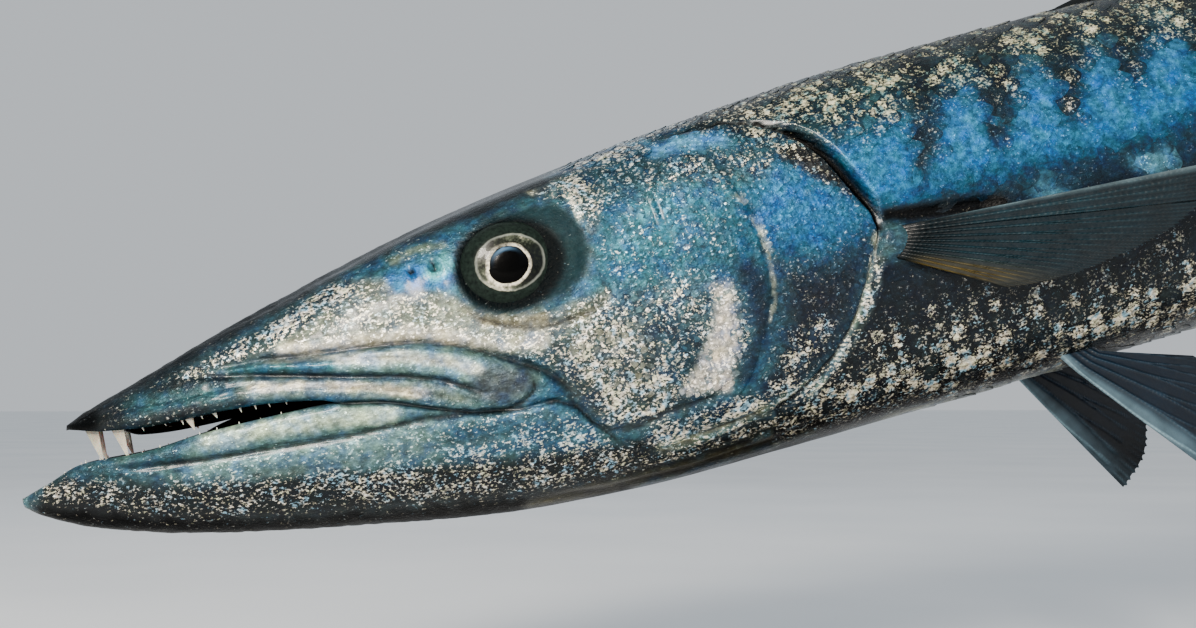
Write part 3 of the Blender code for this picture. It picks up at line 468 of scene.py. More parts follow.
def fishPoints(piece):
    # a piece's vertices in fish mm
    p = meshPlaces(piece) * 1000
    x, z = p[:, 0] + hold["stationOverBase"] * tiltCos, p[:, 2] - hold["jawTipHeight"]
    return np.stack([x * tiltCos + z * tiltSin, p[:, 1], z * tiltCos - x * tiltSin], -1)


def setAttribute(piece, name, values):
    # one colour or number for each vertex
    layer = piece.data.color_attributes.new(name, "FLOAT_COLOR", "POINT")
    data = np.ones((len(values), 4), np.float32)
    data[:, :values.shape[1]] = values
    layer.data.foreach_set("color", data.ravel())


# Skin: rings of points along the body, closer on the head; the mouth is open in front of its corner
skinSet = {"headStep": 1.25, "trunkStep": 7.0, "upperPoints": 130, "lowerPoints": 86, "mouthPoints": 36,
           "crowding": 0.6, "tailCover": 30.0,
           "tailCoverRings": 10, "snoutTip": 17.2}


def ringStations():
    # along the open mouth from the snout's tip to the mouth's corner, then on to the end of the stalk
    opened = np.arange(skinSet["snoutTip"], mouth["corner"] - 0.3, skinSet["headStep"])
    rest = [mouth["corner"]]
    while rest[-1] < bodyShape["end"]:
        grown = float(smoothStep(325, 420, rest[-1]))
        rest.append(rest[-1] + skinSet["headStep"] + (skinSet["trunkStep"] - skinSet["headStep"]) * grown)
    rest[-1] = bodyShape["end"]
    return np.append(opened, mouth["corner"]), np.array(rest)


coverEdge = headRelief["gillCover"][headRelief["freeEdge"]]
coverTip = max(station for station, height in coverEdge)
coverEdge = [(height, station) for station, height in coverEdge[::-1]]
coverEdgeAt = smoothCurve([(-80, 262)] + coverEdge + [(80, 262)])


def followCover(station, height):
    # rings near the gill opening follow its edge, so that the edge is crisp
    before, after = smoothStep(215, coverTip, station), 1 - smoothStep(coverTip, 395, station)
    return station + np.where(station < coverTip, before, after) * (coverEdgeAt(height) - coverTip)


def outerArc(stations, endAngle, points, under):
    # rows of points over the back, or under the belly, from the right lip to the left one
    spread = np.linspace(-1, 1, 401)
    rows = []
    even = np.linspace(-1, 1, points)
    even = even + skinSet["crowding"] * np.sin(math.pi * even) / math.pi
    for s, end in zip(stations, endAngle):
        angles = math.pi + (math.pi - end) * spread if under else end * spread
        line = bodyPoint(np.full(angles.shape, s), angles)
        length = np.concatenate([[0], np.cumsum(np.linalg.norm(np.diff(line, axis=0), axis=1))])
        rows.append(np.interp((even + 1) / 2 * length[-1], length, angles))
    angles = np.array(rows)
    station = np.repeat(np.asarray(stations)[:, None], points, 1)
    station = followCover(station, bodyPoint(station, angles)[..., 2])
    base = bodyPoint(station, angles)
    return base, bodyNormal(station, angles)


def curlLips(base, stations, points):
    # the lips turn in over the edge of an open mouth
    steps = np.linalg.norm(np.diff(base, axis=1), axis=2)
    left = np.concatenate([np.zeros((len(base), 1)), np.cumsum(steps, axis=1)], 1)
    edge = np.minimum(left, left[:, -1:] - left)
    curl = mouth["lipCurl"] * (1 - np.clip(edge / 2.4, 0, 1)) ** 2
    return curl * (1 - smoothStep(104, 113, stations))[:, None]


def mouthArc(outer, stations, upper):
    # lining of the mouth from one lip edge to the other: gum, then palate or floor
    right, left = outer[:, 0], outer[:, -1]
    across = np.cos(np.linspace(0, math.pi, skinSet["mouthPoints"]))
    share = (stations - stations[0]) / (mouth["corner"] - stations[0])
    fullness = np.clip(np.sin(math.pi * np.clip(0.04 + share * 0.96, 0, 1)), 0, 1) ** 0.4
    if upper:
        room, rise = topAt(stations) - upperLipAt(stations) - 3, mouth["palateRise"]
    else:
        room, rise = lowerLipAt(stations) - bottomAt(stations) - 5, mouth["floorDrop"]
    rise = np.minimum(rise, np.maximum(room, 0.2)) * fullness
    rise[-1] = 0
    middle, half = (right + left) / 2, (right - left) / 2
    rows = middle[:, None] + half[:, None] * across[None, :, None]
    inner = (1 - np.abs(across))[None, :] * np.abs(half[:, 1:2])
    lifted = rise[:, None] * smoothStep(0, 1, np.clip((inner - mouth["lipThickness"]) / 4.5, 0, 1))
    # the palate's ridge hangs lower towards the back, where the tongue rises to it
    crest = bell(across, mouth["tongueWidth"], 4)[None, :]
    crest = crest * smoothStep(*((26, 42) if upper else (44, 74)), stations)[:, None]
    hang = (0.25 + 0.35 * smoothStep(34, 70, stations)) if upper else 0.43 + 0 * stations
    hang = np.maximum(upperLipAt(stations) - lowerLipAt(stations), 0) * hang
    lifted = lifted * (1 - crest) - crest * hang[:, None]
    rows[..., 2] += lifted if upper else -lifted
    rows[..., 0] += (26 * smoothStep(60, 113, stations))[:, None] * (1 - across**2)[None, :]
    return rows


openStations, restStations = ringStations()
# the lower jaw's tip lies in front of the snout's
lowStations = np.concatenate([[-2, -1.2, 0, 1.4, 3], np.arange(4.2, 17, skinSet["headStep"]), openStations])
restEnds = angleAtHeight(restStations, upperLipAt(restStations))
sheets, ends = [], []
for upper in (True, False):
    lipAt = upperLipAt if upper else lowerLipAt
    count = skinSet["upperPoints"] if upper else skinSet["lowerPoints"]
    front = openStations if upper else lowStations
    base, normal = outerArc(front, angleAtHeight(front, lipAt(front)), count, not upper)
    outer = base + normal * (reliefAt(base) - curlLips(base, front, count))[..., None]
    lining = mouthArc(outer, front, upper)
    name = "upper" if upper else "lower"
    sheets += [layGrid(name + "Jaw", outer), layGrid(name + "Lining", lining)]
    tip = outer[0].mean(0)  # the front of the jaw closes on one point
    sheets.append(layGrid(name + "Tip", np.stack([outer[0], tip + 0 * outer[0]])))
    sheets.append(layGrid(name + "TipLining", np.stack([lining[0], tip + 0 * lining[0]])))
    base, normal = outerArc(restStations, restEnds, count, not upper)
    outer = base + normal * reliefAt(base)[..., None]
    # past the end of the stalk the skin thins out over the tail's rays
    x, y, z = outer[-1].T
    bow = 1 - 0.55 * bell(z - 2, 16)
    cover = []
    for k in range(skinSet["tailCoverRings"]):
        t = (k + 1) / skinSet["tailCoverRings"]
        thin = (1 - t) ** 0.8 * 0.9 + 0.1 - 0.04 * t
        spread = 2 + (z - 2) * (1 + 0.34 * t)
        cover.append(np.stack([x + skinSet["tailCover"] * t * bow, y * thin, spread], -1))
    outer = np.concatenate([outer, np.array(cover)])
    sheets.append(layGrid(name + "Body", outer))
    ends.append(outer[-1])
sheets += [layGrid("tailEnd", np.stack([end, end * (1, 0, 1)])) for end in ends]
skin = joinSheets(sheets, "barracudaSkin")
print("skin made with", len(skin.data.polygons), "faces")

# Paint of the head in the side view, one stroke over another, each with a soft edge: the line's half width
# (none for an outline, which is filled), the edge's softness, the colour, the share of bright flakes in
# the skin, pale flecks partly painted as glints (glint), how metallic it is (pearl) and the points. A last
# number breaks the stroke up.
paintStrokes = [
    (None, 4, "#243338", 0.2, 0.12, [(205, 54), (180, 48), (130, 37), (90, 26), (40, 12), (17, 9), (17, 14),
        (90, 40), (172, 60), (260, 75), (345, 80), (345, 63), (300, 60), (262, 58), (228, 56)]),
    (None, 5, "#172933", 0.05, 0.02, [(205, 58), (186, 54), (150, 45), (110, 34), (60, 18), (26, 9), (18, 12),
        (90, 50), (205, 75)]),
    (None, 4, "#4f86a0", 0.62, 0.5, [(197, 50), (225, 58), (262, 63), (300, 66), (300, 54), (284, 50),
        (262, 50), (240, 47), (218, 34), (214, 30), (207, 44)]),
    (None, 9, "#3c7590", 0.24, 0.45, [(214, 34), (232, 50), (262, 55), (300, 50), (313, 26), (320, 4),
        (312, -8), (290, -2), (262, 2), (236, 4), (214, 10)]),
    (None, 14, "#3f7eb2", 0.1, 0.55, [(276, 36), (296, 34), (310, 22), (318, 6), (306, -4), (282, 2),
        (274, 16)]),
    (3.4, 4, "#88ccff", 0.06, 0.5, [(251, 50), (261, 50), (273, 49)]),
    (9, 12, "#42829a", 0.26, 0.45, [(226, 16), (244, 26), (262, 34)]),
    (None, 3, "#22353b", 0.4, 0.35, [(286, 58), (300, 50), (310, 32), (315, 15), (305, 24), (296, 34),
        (284, 46), (276, 54)]),
    (5, 7, "#55808f", 0.45, 0.5, [(222, 46), (240, 44), (262, 42), (280, 38)]),
    (None, 7, "#5d7f8a", 0.5, 0.45, [(160, 4), (186, 0), (214, 4), (240, 2), (262, -6), (264, -22),
        (254, -38), (236, -46), (210, -44), (198, -34), (188, -18), (174, -6)]),
    (None, 6, "#8f938a", 0.7, 0.4, [(188, -3), (208, -1), (226, -12), (228, -24), (232, -38), (222, -46),
        (206, -42), (196, -28)]),
    (5, 8, "#40687c", 0.42, 0.45, [(230, -24), (240, -30), (232, -12)]),
    (None, 2.6, "#efe4d8", 0.4, 0.3, [(252, -3), (258, -3), (258, -14), (256.5, -26), (252, -34), (250, -41),
        (242, -38.5), (232, -37), (237, -32), (243, -25), (249, -17)]),
    (None, 4, "#2b4664", 0.12, 0.4, [(262, 4), (268, 3), (273, -6), (272, -16), (268, -26), (258, -40),
        (255, -38), (262, -24), (264, -10)]),
    (0.45, 0.8, "#dde2d0", 0.5, 0.4, [(270.5, 27), (273, 20), (275.3, 11), (275.6, 1), (274.8, -9.7),
        (273, -15), (268.7, -23.4)], 0.43),
    (None, 12, "#263a50", 0.2, 0.35, [(277, -2), (296, -4), (315, -1), (313, -12), (304, -28), (290, -42),
        (276, -48), (266, -46), (270, -34), (275, -18)]),
    (4, 6, "#40566a", 0.6, 0.4, [(288, -30), (281, -33), (274, -42), (268, -48)]),
    (None, 2.4, "#5f8294", 0.7, 0.45, [(214, -52), (222, -48), (244, -45), (256, -44), (268, -48), (284, -47),
        (272, -53), (252, -57.5), (230, -58.5), (217, -57)]),
    (2.4, 3, "#58645f", 0.6, 0.35, [(212, -60), (232, -61.5), (256, -60.5), (278, -57), (292, -52)]),
    (1.2, 2, "#e2e5c8", 0.8, 0.4, [(222, -55.5), (240, -55.8), (262, -53), (280, -49)]),
    (None, 3, "#a5a795", 0.52, 0.35, [(70, 15.5), (100, 24), (128, 32.5), (140, 30), (158, 19), (170, 8),
        (190, 3), (214, 4), (206, -5), (186, -8), (176, -8), (160, 3), (145, 8), (117, 12), (90, 16)]),
    (2.2, 3, "#f4ecda", 0.35, 0.25, [(98, 14.5), (122, 11.5), (146, 8), (164, 1.5), (186, -6)]),
    (2.2, 3.5, "#6d8488", 0.74, 0.4, [(60, 13), (74, 16.5), (90, 20), (108, 26), (124, 31)]),
    (3, 4, "#cfcdb8", 0.5, 0.35, [(156, 14), (166, 5), (178, 0)]),
    (4.4, 2.4, "#3d7cb4", 0.02, 0.4, [(144, 28), (152, 28), (161, 27)]),
    (2.6, 2.6, "#6fbccb", 0.02, 0.4, [(157, 29), (161, 30)]),
    (0.8, 1.6, "#aebfa4", 0.5, 0.3, [(144, 36.2), (152, 38.2), (162, 38)]),
    (None, 1.6, "#82a5aa", 0.14, 0.4, [(70, 15), (90, 14), (117, 9.8), (145, 5), (157, 0.5), (168, -5.6),
        (180, -13), (183, -18), (178, -25), (164, -25), (156, -17), (149, -10), (135, -5), (118, 0), (101, 5),
        (85, 9.5)]),
    (1.4, 2, "#dde4d8", 0.2, 0.35, [(92, 11.2), (116, 7), (138, 1.4), (152, -4), (163, -10.5)]),
    (1.6, 2, "#4c8596", 0.1, 0.5, [(80, 12), (96, 9.4), (112, 5.4)]),
    (None, 3.5, "#5c6a72", 0.06, 0.4, [(160, -10), (172, -10), (181, -15), (181, -21), (174, -25), (164, -24),
        (157, -18)]),
    (None, 1.6, "#7f9491", 0.12, 0.4, [(76, 11), (101, 4), (118, -1.2), (135, -6), (149, -11.4), (157, -18),
        (160, -24), (150, -20), (138, -15.6), (124, -10.6), (110, -5), (92, -1), (76, 2)]),
    (0.9, 1.8, "#d9d3bd", 0.15, 0.3, [(84, 5), (104, 0.4), (124, -6), (142, -12.6)]),
    (None, 3, "#2c454c", 0.26, 0.35, [(17, 8), (40, 14), (62, 16), (78, 12), (80, 0), (50, -1), (30, 3)]),
    (2.6, 4, "#48737e", 0.14, 0.45, [(44, 9), (58, 8), (74, 6)]),
    (5, 7, "#0f1719", 0.0, 0.02, [(17, 8), (26, 8.6)]),
    (None, 1.4, "#6d939c", 0.3, 0.4, [(-6, -8), (20, -4), (60, -5), (100, -6), (130, -12), (178, -27),
        (200, -42), (214, -62), (180, -80), (60, -80), (-6, -60)]),
    (None, 1.6, "#64898d", 0.08, 0.35, [(30, -4), (64, -4), (98, -6), (113, -8.6), (140, -17.4), (156, -23.6),
        (142, -22.4), (113, -20.8), (78, -17.2), (47, -13.2), (30, -10.6)]),
    (2.2, 3.4, "#b3c7b8", 0.14, 0.3, [(66, -9), (88, -10.4), (110, -13.6), (128, -17)]),
    (2.6, 3, "#3e6a7a", 0.18, 0.4, [(20, -9), (34, -11), (52, -12)]),
    (4.2, 4, "#8fb3b6", 0.36, 0.4, [(60, -20), (92, -24), (122, -28), (150, -31), (176, -36)]),
    (6, 6, "#6fa0b4", 0.55, 0.35, [(150, -34), (170, -36), (188, -42), (196, -48)]),
    (6.2, 5, "#3a4d52", 0.54, 0.35, [(10, -16), (30, -23), (56, -30), (90, -37), (125, -44), (161, -51),
        (198, -56.5), (213, -58)]),
    # painted shade: the dark band along the jaw's lower edge
    (3.5, 6, "#0b1012", 0.16, 0.02, [(4, -20), (36, -33), (70, -43.6), (105, -51), (142, -59), (168, -63),
        (200, -67)]),
    # painted shade: the jaw's underside
    (None, 3, "#070b0c", 0.02, 0, [(0, -22), (36, -36), (106, -53), (168, -64), (214, -68), (214, -90),
        (0, -90)]),
    (1.8, 2.4, "#5f5c44", 0.1, 0.15, [(172, -64.4), (200, -66), (236, -66.6), (270, -66), (300, -64)]),
    # painted shade: the throat's underside
    (None, 3, "#161e22", 0.08, 0.03, [(180, -68.4), (214, -70), (250, -69.6), (300, -67), (345, -69),
        (345, -90), (180, -90)]),
    (None, 3, "#22343a", 0.06, 0.15, [(158, 44), (172, 43), (192, 46), (207, 47), (215, 50), (205, 57),
        (180, 52), (160, 47)]),
    (None, 2.2, "#38545a", 0.01, 0.01, [(162, 22), (166, 35), (177, 42), (192, 44.5), (204, 43), (210, 38),
        (213.5, 30), (213, 21), (208, 13.5), (199, 8.5), (188, 6), (176, 6), (166, 12)]),
    (None, 1.8, "#7e9694", 0.7, 0.4, [(201, 45.5), (208, 50), (216, 50), (221, 44), (220, 36), (216.5, 28),
        (214.5, 28), (213.5, 37), (209, 44)]),
    (0.9, 1.3, "#dde0cc", 0.7, 0.35, [(199, 48), (205, 47), (210, 46.4), (212, 41), (213, 34),
        (213.8, 29)], 0.36),
    (1.5, 2, "#b2ac95", 0.3, 0.3, [(168, 7), (178, 3), (190, 2)]),
]
# painted shade in the head's grooves: its colour and strength
creaseShade = {"colour": "#0a1a20", "strength": 0.95}


def overPaint(colour, finish, coat, weight):
    # a coat is its colour, glint and pearl
    colour += (np.array(hexColour(coat[0])) - colour) * weight[:, None]
    finish += (np.array(coat[1:]) - finish) * weight[:, None]


# Markings of the flank: bars over the back, ink blots low on the rear, pale patches behind the pectoral fin
flankMarks = {"barsFrom": 352.0, "barStep": 31.0, "barHalf": 8.0, "bars": 22, "barLean": 0.38,
              "blots": 15, "blotStations": (560, 960), "seed": 5,
              "leftPatches": [[(428, 9), (431, 4), (441, 3), (446, 6), (447, 0), (442, -5), (434, -6),
                               (428, -2)],
                              [(388, 7), (392, 2), (402, -3), (403, -6), (386, -5)]]}
draw = np.random.default_rng(flankMarks["seed"])
first, last = flankMarks["blotStations"]
blots = []
for side in sides.values():
    for k in range(flankMarks["blots"]):
        station = first + (k + draw.random()) / flankMarks["blots"] * (last - first)
        blots.append((side, station, -0.12 - 0.5 * draw.random(), 4 + 7 * draw.random()))
barStations = [flankMarks["barsFrom"] + flankMarks["barStep"] * k + 5 * (draw.random() - 0.5)
               for k in range(flankMarks["bars"])]
barReach = [0.2 + 0.22 * draw.random() for k in range(flankMarks["bars"])]
# from the belly at -1 to the back's ridge at 1: colour, glint and pearl; the dark band at -0.93, over the
# pale belly, is painted shade
flankTones = [(-1.02, "#b9bdb4", 0.15, 0.3), (-0.985, "#8e948e", 0.3, 0.35), (-0.93, "#2a353a", 0.4, 0.4),
              (-0.76, "#3f5058", 0.58, 0.4), (-0.6, "#33454f", 0.42, 0.4), (-0.35, "#243746", 0.16, 0.4),
              (-0.08, "#24405a", 0.1, 0.45), (0.1, "#2c5a78", 0.06, 0.5), (0.26, "#4189bc", 0.05, 0.5),
              (0.5, "#4488b4", 0.1, 0.5), (0.62, "#44758c", 0.42, 0.45), (0.8, "#4d7780", 0.62, 0.45),
              (0.94, "#34505a", 0.42, 0.35), (1.02, "#243a42", 0.25, 0.3)]
luminance = np.array((0.3, 0.5, 0.2))


def flankPaint(points):
    # colour and finish of the body behind the head
    s, y, z = points.T
    middle = widestAt(s)
    h = np.where(z > middle, (z - middle) / (topAt(s) - middle), (z - middle) / (middle - bottomAt(s)))
    wave = h + 0.09 * (softNoise(points, 26, 11) - 0.5) + 0.05 * (softNoise(points, 7, 12) - 0.5)
    places, tones, *shares = zip(*flankTones)
    tones = np.array([hexColour(tone) for tone in tones]).T
    colour = np.stack([np.interp(wave, places, part) for part in tones], -1)
    finish = np.stack([np.interp(wave, places, part) for part in shares], -1)
    grey = colour @ luminance
    faded = 0.7 * smoothStep(480, 740, s)[:, None]
    colour = colour + (grey[:, None] * (0.98, 1.05, 1.12) - colour) * faded
    silver = smoothStep(450, 700, s + 60 * (softNoise(points, 40, 47) - 0.5))
    silver = silver * (1 - smoothStep(-0.2, 0.2, wave))
    overPaint(colour, finish, ("#9eacb1", 0.4, 0.55), silver * 0.85)
    overPaint(colour, finish, ("#cfd2cb", 0.3, 0.35), silver * smoothStep(-0.7, -0.95, wave) * 0.7)
    ragged = 4.5 * (softNoise(points, 9, 21) - 0.5) + 3 * (softNoise(points, 3.5, 22) - 0.5)
    for station, reach in zip(barStations, barReach):
        centre = station + flankMarks["barLean"] * (z - 40)
        away = np.abs(s - centre) + ragged - flankMarks["barHalf"] * (0.6 + 0.5 * h)
        weight = 1 - smoothStep(-2.5, 2.5, away)
        weight *= smoothStep(reach - 0.08, reach + 0.14, h) * (1 - 0.35 * smoothStep(0.85, 1, h))
        overPaint(colour, finish, ("#1d3440", 0.3, 0.3), weight * 0.85)
        between = bell(s - centre - flankMarks["barStep"] / 2, 8) * bell(h - 0.5, 0.17)
        between = between * (1 - 0.7 * smoothStep(480, 760, s))
        overPaint(colour, finish, ("#5092cc", 0.02, 0.6), between * 0.78)
    for side, station, height, size in blots:
        centre = middle + height * (middle - bottomAt(s))
        away = np.hypot(s - station, (z - centre) * 1.2) + 1.6 * ragged
        weight = (1 - smoothStep(-1.5, 1.5, away - size)) * (y * side > 0)
        overPaint(colour, finish, ("#10171b", 0.03, 0.2), weight * 0.92)
    for outline in flankMarks["leftPatches"]:
        weight = smoothStep(-1.2, 1.6, insideDepth(outline, s, z)) * (y < 0)
        overPaint(colour, finish, ("#6fa9c0", 0.2, 0.3), weight * 0.8)
    return colour, finish


def paintAt(points):
    # colour, then glint and pearl, for places on the fish
    colour, finish = flankPaint(points)
    head = points[:, 0] < headRelief["end"]
    spot = points[head]
    s, z = spot[:, 0], spot[:, 2]
    tone, shine = colour[head], finish[head]
    start, startShine = tone.copy(), shine.copy()
    tone[:], shine[:] = hexColour("#4d7f95"), (0.15, 0.5)
    ragged = 2.2 * (softNoise(spot, 6, 31) - 0.5) + 1.6 * (softNoise(spot, 2.4, 32) - 0.5)
    for half, soft, hexTone, glint, pearl, line, *broken in paintStrokes:
        uneven = ragged * min(1, soft / 3)
        if half is None:
            weight = smoothStep(-soft, soft, insideDepth(line, s, z) + uneven)
        else:
            weight = 1 - smoothStep(half - soft / 2, half + soft, lineDistance(line, s, z)[0] + uneven)
        for share in broken:
            weight = weight * smoothStep(share - 0.1, share + 0.1, softNoise(spot, 3.0, 41))
        overPaint(tone, shine, (hexTone, glint, pearl), weight)
    # painted shade darkens each groove, unevenly
    patchyShade = 0.75 + 0.25 * softNoise(spot, 5, 46)
    for line, depth, width in headRelief["grooves"]:
        distance, along = lineDistance(line, s, z)
        weight = creaseShade["strength"] * fadeEnds(along, 6) * patchyShade * bell(distance, width * 0.95)
        overPaint(tone, shine, (creaseShade["colour"], 0, 0.2), weight * min(1, 1.15 * depth))
    # back to the flank's paint behind the gill opening, where the nape joins above it
    depth = insideDepth(headRelief["gillCover"], s, z)
    nape = smoothStep(255, 300, s + 0.5 * (z - 55)) * (z > 40)
    throat = smoothStep(0.2, 1, (-66 - z) / 4) * (1 - smoothStep(270, 345, s))
    body = np.maximum(nape, (s > 268) & (depth < 0)) * (1 - throat)
    tone += (start - tone) * body[:, None]
    shine += (startShine - shine) * body[:, None]
    thick = gapHalf(z)
    # pale flakes on the shoulder's edge behind the lower cover, partly a painted highlight on the lit edge,
    # then painted shade in the gap itself
    width = 1.7 + 1.2 * softNoise(spot, 7.0, 44)
    rim = bell(depth + 2 * thick + width, width, 4) * smoothStep(262, 280, s) * (1 - smoothStep(-2, 8, z))
    rim = rim * (0.6 + 0.4 * smoothStep(0.4, 0.62, softNoise(spot, 3.2, 43)))
    overPaint(tone, shine, ("#8b9a96", 0.8, 0.35), rim)
    edge = bell(depth + 0.3 + thick, thick + 0.25, 4) * smoothStep(240, 268, s)
    overPaint(tone, shine, ("#04080a", 0, 0), edge * (0.3 + 0.7 * smoothStep(-14, -3, z)))
    # a painted highlight along the cover's free edge
    line = [(318.6, 1), (316.6, -5), (312.4, -14), (305.6, -27), (298.6, -36), (290, -46), (281, -53)]
    bright = 1 - smoothStep(0.35, 1.7, lineDistance(line, s, z)[0] + 1.2 * (softNoise(spot, 3.4, 48) - 0.4))
    overPaint(tone, shine, ("#e0e0c6", 0.6, 0.3), bright)
    # painted shade in the hollow over the pectoral fin, and the smooth skin of its base
    pit = bell(lineDistance([(327, 6), (345, 3.4), (372, 0)], s, z)[0], 3.6, 4)
    overPaint(tone, shine, ("#060d12", 0, 0.05), pit)
    root = headRelief["finRoot"]
    base = 1 - smoothStep(0.7, 1.15, ellipseAway(s, z, root["centre"], root["half"]))
    overPaint(tone, shine, ("#4a6f7e", 0.12, 0.3), base * (depth < -2 * thick))
    # painted shade in the nostrils and along the mouth's shut line
    for away in nostrilsAway(s, z):
        overPaint(tone, shine, ("#0c1418", 0, 0), 1 - smoothStep(0.5, 1.0, away))
    shut = bell(z - upperLipAt(s), 0.9) * smoothStep(108, 114, s) * (1 - smoothStep(172, 182, s))
    overPaint(tone, shine, ("#0e1c20", 0, 0.1), shut * 0.9)
    eye = headRelief["eye"]
    r = ellipseAway(s, z, eye["centre"], eye["orbit"])
    overPaint(tone, shine, ("#12252b", 0, 0), 1 - smoothStep(0.94, 1.16, r))
    colour[head], finish[head] = tone, shine
    return colour, finish


def deepen(colour):
    # the pale studio lights the dark places more than the paint's colours allow for
    bright = colour @ luminance
    spread = bright[:, None] + (colour - bright[:, None]) * 1.18
    return 0.85 * np.clip(spread, 0.001, 1) * (np.clip(bright, 0.003, 0.6) / 0.6)[:, None] ** 0.66


def goldAt(points):
    # the back's flakes are yellow, those of the snout, cheek and belly cream
    s, z = points[:, 0], points[:, 2]
    rise = (z - widestAt(s)) / (topAt(s) - widestAt(s))
    back = smoothStep(0.35, 0.75, rise) * smoothStep(240, 330, s)
    rear = 0.15 * smoothStep(200, 300, s) * (rise < -0.5)
    return np.clip(0.15 + 0.75 * back + rear, 0, 1)


points = fishPoints(skin)
colour, finish = paintAt(points)
s, y, z = points.T
# inside the mouth: painted shade deep in, with the gums near the lips left paler
inner = (s < 142) & (z < upperLipAt(s) + 9) & (z > lowerLipAt(s) - 9) & (s > 4)
overPaint(colour, finish, ("#2a1d1c", 0, 0), smoothStep(2.0, 3.6, widthAtHeight(s, z) - np.abs(y)) * inner)
setAttribute(skin, "tint", deepen(colour))
setAttribute(skin, "finish", np.concatenate([finish, goldAt(points)[:, None]], 1))


